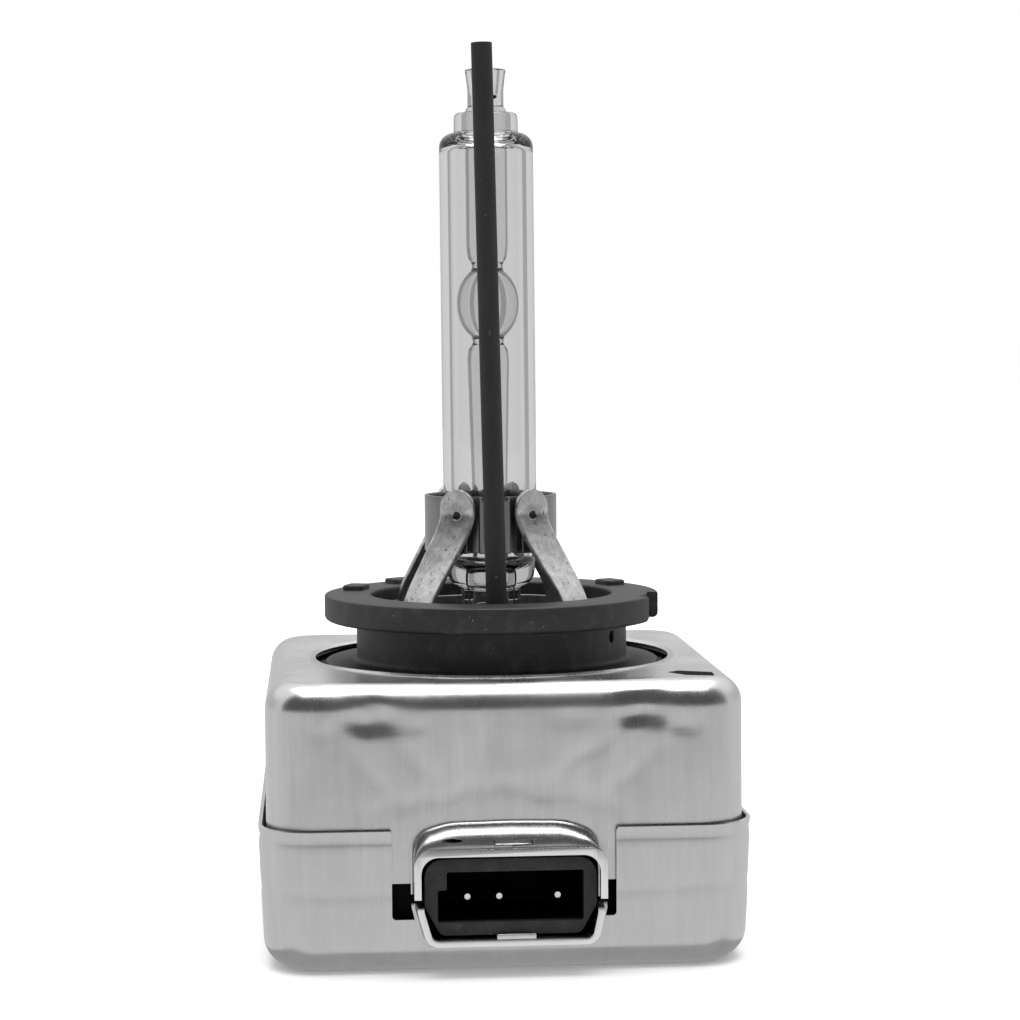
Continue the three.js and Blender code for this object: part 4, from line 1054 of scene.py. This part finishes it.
def igniter_housing(joint):
    wall = 1.2 * MM
    half, low, high = HOUSING_HIGH.x, HOUSING_LOW.z, HOUSING_HIGH.z
    box = soft_block("igniter_housing", (-half, -half, low), (half, half, high + 4 * MM),
                     3.6 * MM, 1.7 * MM)
    inner = half - wall
    pocket = soft_block("pocket", (-inner, -inner, low + wall), (inner, inner, high + 6 * MM),
                        2.4 * MM, 0.8 * MM)
    above = soft_block("above", (-2 * half, -2 * half, high), (2 * half, 2 * half, high + 9 * MM),
                       1 * MM, 0.1 * MM, 2)
    combined(box, "DIFFERENCE", pocket, above)
    front = HOUSING_LOW.y
    back = front + joint.socket_depth
    socket = prism("socket", socket_outline(joint, 0.0), "Y", front, back + wall)
    combined(box, "UNION", socket)
    cavity_half = joint.half - joint.wall - joint.socket_gap - joint.socket_wall
    top = joint.top - joint.wall - joint.socket_gap - joint.socket_wall
    bottom = joint.lip_bottom + joint.wall + joint.socket_gap + joint.socket_wall
    key = joint.key_width - cavity_half
    cavity = prism("cavity", rounded([
        (-cavity_half, bottom), (cavity_half, bottom), (cavity_half, top), (key, top),
        (key, top - joint.key_height), (-cavity_half, top - joint.key_height),
    ], 0.18 * MM), "Y", front - 1 * MM, back)
    holes = []
    for pin in PINS:
        pin_low, pin_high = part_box(pin)
        place = Matrix.Translation(((pin_low.x + pin_high.x) / 2, back, pin_high.z - joint.pin_radius))
        hole = turned("hole", [(0, -2 * MM), (joint.pin_radius + 0.1 * MM, -2 * MM),
                               (joint.pin_radius + 0.1 * MM, 3 * MM), (0, 3 * MM)], 24)
        hole.data.transform(place @ Matrix.Rotation(math.radians(-90), 4, "X"))
        holes.append(hole)
    fill = turned("fill", [(0, -1 * MM), (2.5 * MM, -1 * MM), (2.5 * MM, low + 2 * wall),
                           (0, low + 2 * wall)], 48)
    combined(box, "DIFFERENCE", cavity, fill, *holes)
    return eased(box, 0.1 * MM, 45)


def contact_pin(node, joint):
    """A turned contact with a chamfered tip and its square tail."""
    low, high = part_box(node)
    radius = joint.pin_radius
    reach = high.y - low.y
    profile = [(0, 0), (radius * 0.6, 0), (radius, 0.3 * MM)]
    profile += [(radius, reach - 0.06 * MM), (radius - 0.06 * MM, reach), (0, reach)]
    pin = turned(node, profile, 48)
    place = Matrix.Translation(((low.x + high.x) / 2, low.y, high.z - radius))
    pin.data.transform(place @ Matrix.Rotation(math.radians(-90), 4, "X"))
    side = radius * 0.75
    tail = soft_block("tail", ((low.x + high.x) / 2 - side, high.y - 3 * side, low.z),
                      ((low.x + high.x) / 2 + side, high.y - side, high.z - radius),
                      0.08 * MM, 0.05 * MM, 3)
    return combined(pin, "UNION", tail)


def lamp_cap(size):
    ring_top = CAP_HIGH.z - size.boss
    disc_top = SHIELD_HIGH.z - size.disc_drop
    floor = ring_top - size.bore_depth
    lid_top = disc_top - 0.6 * MM
    ring_low = ring_top - size.ring_thickness
    outside = rounded([
        (0, lid_top - 1 * MM), (size.disc, lid_top - 1 * MM), (size.disc, disc_top),
        (size.neck, disc_top), (size.neck, ring_low), (size.ring, ring_low),
        (size.ring, ring_top), (size.bore, ring_top), (size.bore, floor), (0, floor),
    ], [0, 0.1 * MM, 0.3 * MM, 0.55 * MM, 0.3 * MM, size.ring_edge, 0.22 * MM, 0.3 * MM,
        0.5 * MM, 0], closed=False, steps=6)
    cap = turned("lamp_cap", outside, 216)
    half = HOUSING_HIGH.x
    lid = soft_block("lid", (-half, -half, lid_top - 3 * MM), (half, half, lid_top),
                     3.6 * MM, 0.9 * MM)
    bosses = []
    for angle in (27, 128, 161):
        boss = soft_block("boss", (12.6 * MM, -1.35 * MM, ring_top - 0.5 * MM),
                          (14.7 * MM, 1.35 * MM, CAP_HIGH.z), 0.45 * MM, 0.22 * MM, 4)
        boss.data.transform(Matrix.Rotation(math.radians(angle), 4, "Z"))
        bosses.append(boss)
    combined(cap, "UNION", lid, *bosses)
    wedge = arc((0, 0), size.ring + 3 * MM, -26, -8, 8)
    inner = arc((0, 0), size.ring - size.notch, -8, -26, 12)
    notch = prism("notch", wedge + inner, "Z", ring_low - 1 * MM, ring_top + 1 * MM)
    hole = turned("hole", [(0, -2 * MM), (size.hole, -2 * MM), (size.hole, 4 * MM), (0, 4 * MM)], 32)
    place = Matrix.Rotation(math.radians(-33.4), 4, "Z")
    place = place @ Matrix.Translation((size.bore, 0, floor + 1.6 * MM))
    hole.data.transform(place @ Matrix.Rotation(math.radians(90), 4, "Y")
                        @ Matrix.Diagonal((1.2, 0.9, 1, 1)))
    foot = turned("foot", [(0, 0), (4 * MM, 0), (4 * MM, floor + 1 * MM), (0, floor + 1 * MM)], 64)
    lead = turned("lead", [(0, 0), (0.8 * MM, 0), (0.8 * MM, floor + 1 * MM), (0, floor + 1 * MM)], 32)
    lead.data.transform(Matrix.Translation((0, (ROD_LOW.y + ROD_HIGH.y) / 2, 0)))
    combined(cap, "DIFFERENCE", notch, hole, foot, lead)
    return eased(cap, 0.09 * MM, 42)


# ---------------------------------------------------------------- burner mount

def weld_sleeve(size):
    outer = SLEEVE_HIGH.x
    sheet = size.sleeve_sheet
    low, high = SLEEVE_LOW.z, SLEEVE_HIGH.z
    profile = rounded([(outer - sheet, low), (outer, low), (outer, high), (outer - sheet, high)],
                      0.1 * MM, steps=3)
    return turned("weld_sleeve", profile, 144, closed=True)


def burner_clamp(size):
    """A collar of thin strip with two upright flutes at the front and two at the back."""
    radius, low, high = CLAMP_HIGH.x, CLAMP_LOW.z, CLAMP_HIGH.z
    count = 360
    rings = []
    rows = 12
    for k in range(rows + 1):
        z = low + (high - low) * k / rows
        ring = []
        for i in range(count):
            degrees = 360 * i / count
            off = min(abs(degrees - 90), abs(degrees - 270)) - 19
            depth = size.flute * (1 - smooth_step((abs(off) - 3.6) / 2.0))
            angle = math.radians(degrees)
            reach = radius - depth
            ring.append((reach * math.cos(angle), reach * math.sin(angle), z))
        rings.append(ring)
    collar = thickened(lofted("burner_clamp", rings, capped=False), size.clamp_sheet)
    return eased(collar, 0.06 * MM, 50)


def leg_radius(size):
    """How far from the axis the head of a leg lies against the clamp."""
    return CLAMP_HIGH.x + size.leg_sheet / 2 + TOUCHING


def leg_line(size, side_x, side_y):
    """The middle line of a leg: upright on the clamp, straight out to the rim, and down again."""
    def place(radius, degrees, z):
        angle = math.radians(degrees)
        return Vector((side_x * radius * math.sin(angle), side_y * radius * math.cos(angle), z))

    top_r = leg_radius(size)
    foot_r = SLEEVE_HIGH.x - size.sleeve_sheet - size.leg_sheet / 2 - 0.22 * MM
    head_low = LEG_HIGH.z - size.leg_width / 2
    rim = CAP_HIGH.z - 0.9 * MM
    upper_bend = place(top_r, size.head_angle, head_low - size.leg_bend)
    lower_bend = place(foot_r, size.foot_angle, rim)
    return smooth_line([
        place(top_r, size.head_angle, LEG_HIGH.z),
        place(top_r, size.head_angle, head_low),
        place(top_r, size.head_angle, head_low - 0.6 * size.leg_bend),
        upper_bend.lerp(lower_bend, 0.1),
        upper_bend.lerp(lower_bend, 0.5),
        upper_bend.lerp(lower_bend, 0.9),
        place(foot_r, size.foot_angle, rim - 0.7 * MM),
        place(foot_r, size.foot_angle, SLEEVE_LOW.z + 0.5 * MM),
    ], 150)


def support_leg(name, size, side_x, side_y):
    """A flat strip with a round head, a spot weld in it and broken edges."""
    line = leg_line(size, side_x, side_y)
    head = size.leg_width / 2
    thin = size.leg_sheet / 2
    corner_steps = 3
    face_start = 3 * (corner_steps + 1)
    rings = []
    travelled = 0.0
    for k, centre in enumerate(line):
        if k:
            travelled += (centre - line[k - 1]).length
        reach = travelled + 0.012 * MM
        half = head if reach > head else math.sqrt(max(head ** 2 - (head - reach) ** 2, 0))
        step = (line[min(k + 1, len(line) - 1)] - line[max(k - 1, 0)]).normalized()
        share = smooth_step((k / (len(line) - 1) - 0.25) / 0.5)
        turn = math.radians(size.head_angle + (size.foot_angle - size.head_angle) * share)
        across = Vector((side_x * math.cos(turn), -side_y * math.sin(turn), 0))
        outward_way = step.cross(across).normalized()
        if outward_way.dot(Vector((centre.x, centre.y, 0))) < 0:
            outward_way.negate()
        edge = min(0.1 * MM, half * 0.4)
        section = rounded([(-half, -thin), (half, -thin), (half, thin), (-half, thin)], edge,
                          steps=corner_steps)
        face = [(-half + edge + 2 * (half - edge) * i / 24, thin) for i in range(23, 0, -1)]
        outline = section[:face_start] + face + section[face_start:]
        ring = []
        for a, b in outline:
            if b > thin * 0.98:
                off = math.hypot(a, travelled - size.weld_drop)
                b -= 0.12 * MM * (1 - smooth_step((off - size.weld * 0.75) / (0.13 * MM)))
            ring.append(centre + across * a + outward_way * b)
        rings.append(ring)
    return outward(lofted(name, rings))


# ---------------------------------------------------------------- burner

def outer_bulb(size):
    radius = BULB_HIGH.x
    bore = radius - size.wall
    low, top = BULB_LOW.z, BULB_HIGH.z
    shoulder = top - size.collar_height
    foot_top = LIGHT_Z - 27.2 * MM
    neck = size.leg + 0.06 * MM
    neck_low = size.leg - 0.24 * MM
    shoulder_arc = arc((radius - size.shoulder, shoulder - size.shoulder), size.shoulder, 0, 84, 9)
    profile = rounded([
        (neck_low, low), (size.foot, low), (size.foot, foot_top + 0.1 * MM),
        (radius - 0.35 * MM, foot_top + 0.75 * MM), (radius, foot_top + 4 * MM),
        *shoulder_arc, (size.collar + 0.05 * MM, shoulder + 0.02 * MM),
        (size.collar, top), (neck, top), (neck, shoulder - 1.0 * MM), (bore, shoulder - 1.2 * MM),
        (bore, foot_top + 2.6 * MM), (neck_low, foot_top + 1.9 * MM),
    ], [
        0.15 * MM, 0.2 * MM, 0.35 * MM, 1.9 * MM, 5 * MM, *[0] * len(shoulder_arc), 0.18 * MM,
        0.45 * MM, 0.2 * MM, 0.3 * MM, 1.1 * MM, 1.2 * MM, 0.5 * MM,
    ], steps=9)
    bulb = turned("outer_bulb", profile, 192, closed=True)
    tilt = -GLASS_LEAN / (top - low)

    def shift(point, normal):
        wobble = noise.noise(Vector((point.x, point.y, point.z * 0.35)) / (4 * MM)) * 0.012 * MM
        return Vector((tilt * (point.z - low), 0, 0)) - normal * max(wobble, 0)

    return moved(bulb, shift)


def arc_tube(size):
    """Quartz tube: sealed legs, the chamber with its cavity, and the open tail on top."""
    low, top = TUBE_LOW.z, TUBE_HIGH.z
    waist_z = size.chamber_half + 0.35 * MM
    collar_top = BULB_HIGH.z
    chamber = [(size.chamber * math.cos(a), LIGHT_Z + 1.1 * size.chamber_half * math.sin(a))
               for a in (math.radians(-58 + 116 * i / 40) for i in range(41))]
    lower = rounded([
        (0, low), (size.leg - 0.3 * MM, low), (size.leg - 0.3 * MM, LIGHT_Z - 17.5 * MM),
        (size.leg, LIGHT_Z - 5.4 * MM), (size.leg - 0.1 * MM, LIGHT_Z - 4.4 * MM),
        (size.waist, LIGHT_Z - waist_z),
    ], [0, 0.2 * MM, 8 * MM, 0.9 * MM, 0.7 * MM, 0], closed=False, steps=8)
    upper = rounded([
        (size.waist, LIGHT_Z + waist_z), (size.leg - 0.15 * MM, LIGHT_Z + 4.4 * MM),
        (size.leg, LIGHT_Z + 5.6 * MM), (size.leg, collar_top + 0.1 * MM),
        (size.tail, collar_top + 0.6 * MM), (size.tail, top - 1.8 * MM), (size.tail + 0.23 * MM, top),
        (size.tail - 0.5 * MM, top), (size.tail - 0.75 * MM, top - 2.6 * MM), (0, top - 3.2 * MM),
    ], [0, 0.8 * MM, 0.9 * MM, 0.3 * MM, 0.4 * MM, 3 * MM, 0.12 * MM, 0.2 * MM, 0.8 * MM, 0],
        closed=False, steps=8)
    body = turned("arc_tube", lower + chamber + upper, 160)
    cavity = [(max(0.0, size.chamber_bore * math.cos(a)), LIGHT_Z + 2.9 * MM * math.sin(a))
              for a in (math.radians(90 - 180 * i / 32) for i in range(33))]
    hollow = turned("hollow", cavity, 96)
    merged(body, hollow)
    tilt = -GLASS_LEAN / (BULB_HIGH.z - BULB_LOW.z)

    def shift(point, normal):
        ripple = noise.noise(Vector((point.x, point.y, point.z * 0.5)) / (1.8 * MM)) * 0.03 * MM
        return Vector((tilt * (point.z - low), 0, 0)) - normal * max(ripple, 0)

    return moved(body, shift)


def electrode(node):
    """A rod with a rounded tip that points into the chamber."""
    low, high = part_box(node)
    radius = high.x
    length_z = high.z - low.z
    profile = [(0, 0)] + arc((0, radius), radius, -90, 0, 6)[1:]
    profile += [(radius, length_z - 0.03 * MM), (radius - 0.03 * MM, length_z), (0, length_z)]
    pin = turned(node, profile, 32)
    if low.z < LIGHT_Z:
        pin.data.transform(Matrix.Translation((0, 0, length_z)) @ Matrix.Diagonal((1, 1, -1, 1)))
        outward(pin)
    pin.data.transform(Matrix.Translation((0, 0, low.z)))
    return pin


def foil(node):
    """A thin foil whose long edges are etched down to a knife edge."""
    low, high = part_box(node)
    thick, half = high.x, high.y
    section = [(thick * math.sin(a) * abs(math.sin(a)) ** 0.3, half * math.cos(a))
               for a in (math.radians(360 * i / 40) for i in range(40))]
    rings = []
    rows = 20
    for k in range(rows + 1):
        share = k / rows
        z = low.z + (high.z - low.z) * share
        end = min(1.0, 0.55 + 3.5 * min(share, 1 - share))
        rings.append([(x, y * end, z) for x, y in section])
    return outward(lofted(node, rings))


def lower_lead():
    low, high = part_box("lower_lead")
    radius = high.x
    return turned("lower_lead", rounded(
        [(0, low.z), (radius, low.z), (radius, high.z), (0, high.z)],
        [0, 0.06 * MM, 0.06 * MM, 0], closed=False, steps=4), 32)


def upper_lead():
    low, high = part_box("upper_lead")
    radius = high.x
    bend_z = high.z - radius
    return wire("upper_lead", [
        (0, 0, low.z), (0, 0, (low.z + bend_z) / 2), (0, 0, TUBE_HIGH.z - 0.4 * MM),
        (low.x * 0.06, -0.8 * MM, bend_z - 0.06 * MM), (low.x * 0.45, low.y * 0.5, bend_z),
        (low.x + radius, low.y + 0.02 * MM, bend_z),
    ], radius * 0.98)


def lean_of_rod():
    """The sleeve's foot, and the turn that leans it from there to its top."""
    radius = (ROD_HIGH.y - ROD_LOW.y) / 2
    foot = Vector((0, ROD_LOW.y + radius, ROD_LOW.z + 0.03 * MM))
    top_x = ROD_LOW.x + radius
    lean = math.atan2(-top_x, ROD_HIGH.z - foot.z)
    return foot, lean


def ceramic_sleeve(size):
    foot, lean = lean_of_rod()
    reach = (ROD_HIGH.z - foot.z) / math.cos(lean) - 0.03 * MM
    profile = rounded([
        (size.rod_bore, 0), (size.rod, 0), (size.rod, reach), (size.rod_bore, reach),
    ], 0.05 * MM, steps=3)
    dense = []
    for (r0, z0), (r1, z1) in zip(profile, profile[1:] + profile[:1]):
        steps = max(1, int(abs(z1 - z0) / (0.6 * MM)))
        dense += [(r0 + (r1 - r0) * i / steps, z0 + (z1 - z0) * i / steps) for i in range(steps)]
    tube = turned("ceramic_sleeve", dense, 64, closed=True)

    def shift(point, normal):
        rough = noise.noise(point / (1.1 * MM)) + 0.5 * noise.noise(point / (0.3 * MM))
        return -normal * 0.008 * MM * max(rough, 0)

    moved(tube, shift)
    notch = soft_block("notch", (-0.4 * MM, 0.1 * MM, reach - 0.95 * MM),
                       (0.4 * MM, 2 * MM, reach + 1 * MM), 0.1 * MM, 0.05 * MM, 3)
    combined(tube, "DIFFERENCE", notch)
    tube.data.transform(Matrix.Translation(foot) @ Matrix.Rotation(-lean, 4, "Y"))
    return tube


def return_wire():
    low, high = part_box("return_wire")
    foot, lean = lean_of_rod()
    turn = Matrix.Translation(foot) @ Matrix.Rotation(-lean, 4, "Y")
    reach = (ROD_HIGH.z - foot.z) / math.cos(lean)
    radius = high.x
    bend = reach - 0.58 * MM
    upper = [turn @ Vector(p) for p in (
        (0, 0, 0.5 * MM), (0, 0, reach / 2), (0, 0, bend - 0.6 * MM), (0, 0.12 * MM, bend - 0.12 * MM),
        (0, 0.5 * MM, bend), (0, 1.05 * MM, bend),
    )]
    below = [(0, foot.y, low.z), (0, foot.y, foot.z - 0.5 * MM)]
    return wire("return_wire", [*below, *upper], radius * 0.95)


# ---------------------------------------------------------------- stage

def sky_patch(name, radius, azimuths, elevations, steps=24):
    """A piece of a sphere round the object, angles in degrees."""
    rings = []
    for k in range(steps + 1):
        elevation = math.radians(elevations[0] + (elevations[1] - elevations[0]) * k / steps)
        ring = []
        for i in range(steps + 1):
            azimuth = math.radians(azimuths[0] + (azimuths[1] - azimuths[0]) * i / steps)
            ring.append((
                radius * math.cos(elevation) * math.cos(azimuth),
                radius * math.cos(elevation) * math.sin(azimuth),
                radius * math.sin(elevation),
            ))
        rings.append(ring)
    return lofted(name, rings, loop=False, capped=False)


def lit(name, strength):
    """A surface that only glows."""
    g = Graph(name)
    return g.show(g.node("ShaderNodeEmission", None, {"Color": grey(1.0), "Strength": strength}))


def card(obj, strength, seen_by):
    """A studio card that only the named kinds of rays meet."""
    obj.data.materials.append(lit(obj.name, strength))
    for kind in ("camera", "diffuse", "glossy", "transmission", "shadow"):
        setattr(obj, "visible_" + kind, kind in seen_by)
    return obj


def plate(name, half, z):
    """A flat square on the axis, half its width from the axis to its edge."""
    return lofted(name, [[(-half, -half, z), (half, -half, z)], [(-half, half, z), (half, half, z)]],
                  False, False)


def studio(size):
    scene = bpy.context.scene
    world = bpy.data.worlds.new("studio")
    scene.world = world
    world.use_nodes = True
    world.node_tree.nodes["Background"].inputs["Color"].default_value = grey(1.0)
    world.node_tree.nodes["Background"].inputs["Strength"].default_value = size.sky
    scene.view_settings.view_transform = "Standard"
    floor = plate("floor", FLOOR_HALF, 0)
    g = Graph("floor")
    mottle = g.clouds(40 * MM, detail=2.0)
    shade_value = size.floor_shade[0]
    floor.data.materials.append(g.finish(
        Base_Color=g.tint(mottle, grey(shade_value * 0.98), grey(shade_value)),
        Roughness=0.9, Emission_Color=grey(1.0), Emission_Strength=0.05,
    ))
    floor.visible_glossy = False
    floor.visible_transmission = False
    card(plate("floor_glow", FLOOR_HALF, -0.2 * MM), 0.76, ("glossy",))
    card(plate("floor_shadow", SHADOW_HALF, -0.1 * MM), 0.42, ("glossy",))
    for name, radius, azimuths, elevations, strength, seen_by, steps in CARDS:
        card(sky_patch(name, radius, azimuths, elevations, steps), strength, (seen_by,))
    lamp = bpy.data.lights.new("soft_light", "AREA")
    lamp.size = 0.7
    lamp.energy = size.soft_light
    light = bpy.data.objects.new("soft_light", lamp)
    light.location = (0.0, 0.05, 0.75)
    light.visible_camera = False
    scene.collection.objects.link(light)


def camera(size):
    data = bpy.data.cameras.new("camera")
    data.lens = size.focal_length
    data.sensor_width = 36
    data.clip_start = 0.01
    eye = bpy.data.objects.new("camera", data)
    turn = Matrix.Rotation(CAMERA_YAW, 4, "Z")
    turn = turn @ Matrix.Rotation(math.pi / 2 + CAMERA_PITCH, 4, "X")
    turn = turn @ Matrix.Rotation(CAMERA_ROLL, 4, "Z")
    eye.matrix_world = Matrix.Translation(CAMERA_PLACE) @ turn
    bpy.context.scene.collection.objects.link(eye)
    bpy.context.scene.camera = eye


# ---------------------------------------------------------------- operators

class PieceOperator:
    bl_options = {"REGISTER", "UNDO"}


class BULB_OT_studio(PieceOperator, bpy.types.Operator):
    """Set up the camera, floor and studio light"""
    bl_idname = "bulb.studio"
    bl_label = "Studio and Camera"

    def execute(self, context):
        camera(context.scene.bulb_studio)
        studio(context.scene.bulb_studio)
        return {"FINISHED"}


class BULB_OT_materials(PieceOperator, bpy.types.Operator):
    """Make every finish of the bulb"""
    bl_idname = "bulb.materials"
    bl_label = "Finishes"

    def execute(self, context):
        make_materials(context.scene)
        return {"FINISHED"}


class BULB_OT_case(PieceOperator, bpy.types.Operator):
    """Build the drawn can, its cover and both halves of the connector frame"""
    bl_idname = "bulb.case"
    bl_label = "Case"

    def execute(self, context):
        size, joint = context.scene.bulb_case, context.scene.bulb_connector
        metal = MATERIALS["drawn_aluminium"]
        handed_over(upper_shield(size, joint), metal, "drawn_aluminium", "upper_shield")
        handed_over(lower_cover(size, joint), metal, "drawn_aluminium", "lower_cover")
        return {"FINISHED"}


class BULB_OT_mouldings(PieceOperator, bpy.types.Operator):
    """Build the lamp cap, the igniter housing and the contact pins"""
    bl_idname = "bulb.mouldings"
    bl_label = "Mouldings and Contacts"

    def execute(self, context):
        joint = context.scene.bulb_connector
        moulding = MATERIALS["black_moulding"]
        handed_over(lamp_cap(context.scene.bulb_cap), moulding, "black_moulding", "lamp_cap")
        handed_over(igniter_housing(joint), MATERIALS["socket_moulding"], "black_moulding",
                    "igniter_housing")
        for pin in PINS:
            handed_over(contact_pin(pin, joint), MATERIALS["pin_metal"], "contact_metal", pin)
        return {"FINISHED"}


class BULB_OT_mount(PieceOperator, bpy.types.Operator):
    """Build the weld sleeve, the clamp and the four support legs"""
    bl_idname = "bulb.mount"
    bl_label = "Burner Mount"

    def execute(self, context):
        size = context.scene.bulb_mount
        handed_over(weld_sleeve(size), MATERIALS["dark_steel"], "dark_steel", "weld_sleeve")
        handed_over(burner_clamp(size), MATERIALS["clamp_steel"], "strip_steel", "burner_clamp")
        for row, side_y in (("front", -1), ("rear", 1)):
            for hand, side_x in (("left", -1), ("right", 1)):
                name = f"support_leg_{row}_{hand}"
                leg = support_leg(name, size, side_x, side_y)
                handed_over(leg, MATERIALS["strip_steel"], "strip_steel", name)
        return {"FINISHED"}


class BULB_OT_burner(PieceOperator, bpy.types.Operator):
    """Build the outer bulb, the arc tube and the metal parts sealed in it"""
    bl_idname = "bulb.burner"
    bl_label = "Burner"

    def execute(self, context):
        size = context.scene.bulb_burner
        glass, metal = MATERIALS["clear_glass"], MATERIALS["refractory_metal"]
        handed_over(outer_bulb(size), glass, "clear_glass", "outer_bulb", angle=50)
        handed_over(arc_tube(size), glass, "clear_glass", "arc_tube", angle=50)
        for level in ("upper", "lower"):
            tip, strip = f"{level}_electrode", f"{level}_foil"
            handed_over(electrode(tip), metal, "refractory_metal", tip)
            handed_over(foil(strip), metal, "refractory_metal", strip)
        handed_over(upper_lead(), metal, "refractory_metal", "upper_lead")
        handed_over(lower_lead(), metal, "refractory_metal", "lower_lead")
        return {"FINISHED"}


class BULB_OT_return_lead(PieceOperator, bpy.types.Operator):
    """Build the return wire and the ceramic sleeve round it"""
    bl_idname = "bulb.return_lead"
    bl_label = "Return Lead"

    def execute(self, context):
        size = context.scene.bulb_burner
        sleeve = ceramic_sleeve(size)
        handed_over(sleeve, MATERIALS["dark_ceramic"], "dark_ceramic", "ceramic_sleeve")
        handed_over(return_wire(), MATERIALS["dark_steel"], "dark_steel", "return_wire")
        return {"FINISHED"}


IGNITER_FINISHES = {
    "high_voltage_terminal": "contact_metal",
    "return_terminal": "contact_metal",
    "transformer_core": "ferrite",
    "transformer_bobbin": "bobbin_plastic",
    "secondary_winding_1": "enamelled_copper",
    "secondary_winding_2": "enamelled_copper",
    "secondary_winding_3": "enamelled_copper",
    "secondary_winding_4": "enamelled_copper",
    "primary_winding": "enamelled_copper",
    "spark_gap_body": "white_ceramic",
    "spark_gap_cap_front": "contact_metal",
    "spark_gap_cap_rear": "contact_metal",
    "pulse_capacitor": "film_capacitor",
    "bleed_resistor": "bobbin_plastic",
    "busbar_supply": "contact_metal",
    "busbar_trigger": "contact_metal",
    "carrier_plate": "black_moulding",
    "casting_resin": "casting_resin",
}


class BULB_OT_igniter(PieceOperator, bpy.types.Operator):
    """Give the solids of the igniter inside the case their finishes"""
    bl_idname = "bulb.igniter"
    bl_label = "Igniter Finishes"

    def execute(self, context):
        for node, finish in IGNITER_FINISHES.items():
            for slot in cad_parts[node].material_slots:
                slot.material = MATERIALS[finish]
        return {"FINISHED"}


OPERATORS = [
    BULB_OT_studio, BULB_OT_materials, BULB_OT_case, BULB_OT_mouldings, BULB_OT_mount,
    BULB_OT_burner, BULB_OT_return_lead, BULB_OT_igniter,
]
SIZES = {
    "bulb_case": CaseSizes,
    "bulb_connector": ConnectorSizes,
    "bulb_cap": CapSizes,
    "bulb_mount": MountSizes,
    "bulb_burner": BurnerSizes,
    "bulb_studio": StudioSizes,
}


class BULB_PT_panel(bpy.types.Panel):
    """The bulb's steps and sizes"""
    bl_idname = "BULB_PT_panel"
    bl_label = "Headlight Bulb"
    bl_space_type = "VIEW_3D"
    bl_region_type = "UI"
    bl_category = "Headlight Bulb"

    def draw(self, context):
        for operator in OPERATORS:
            self.layout.operator(operator.bl_idname)
        for name, group in SIZES.items():
            box = self.layout.box()
            for field in group.__annotations__:
                box.prop(getattr(context.scene, name), field)


def register():
    for group in SIZES.values():
        bpy.utils.register_class(group)
    for name, group in SIZES.items():
        setattr(bpy.types.Scene, name, PointerProperty(type=group))
    for operator in (*OPERATORS, BULB_PT_panel):
        bpy.utils.register_class(operator)


def unregister():
    for operator in (BULB_PT_panel, *reversed(OPERATORS)):
        bpy.utils.unregister_class(operator)
    for name, group in SIZES.items():
        delattr(bpy.types.Scene, name)
        bpy.utils.unregister_class(group)


def main():
    register()
    bpy.ops.bulb.studio()
    bpy.ops.bulb.materials()
    bpy.ops.bulb.case()
    bpy.ops.bulb.mouldings()
    bpy.ops.bulb.mount()
    bpy.ops.bulb.burner()
    bpy.ops.bulb.return_lead()
    bpy.ops.bulb.igniter()


if __name__ == "__main__":
    main()
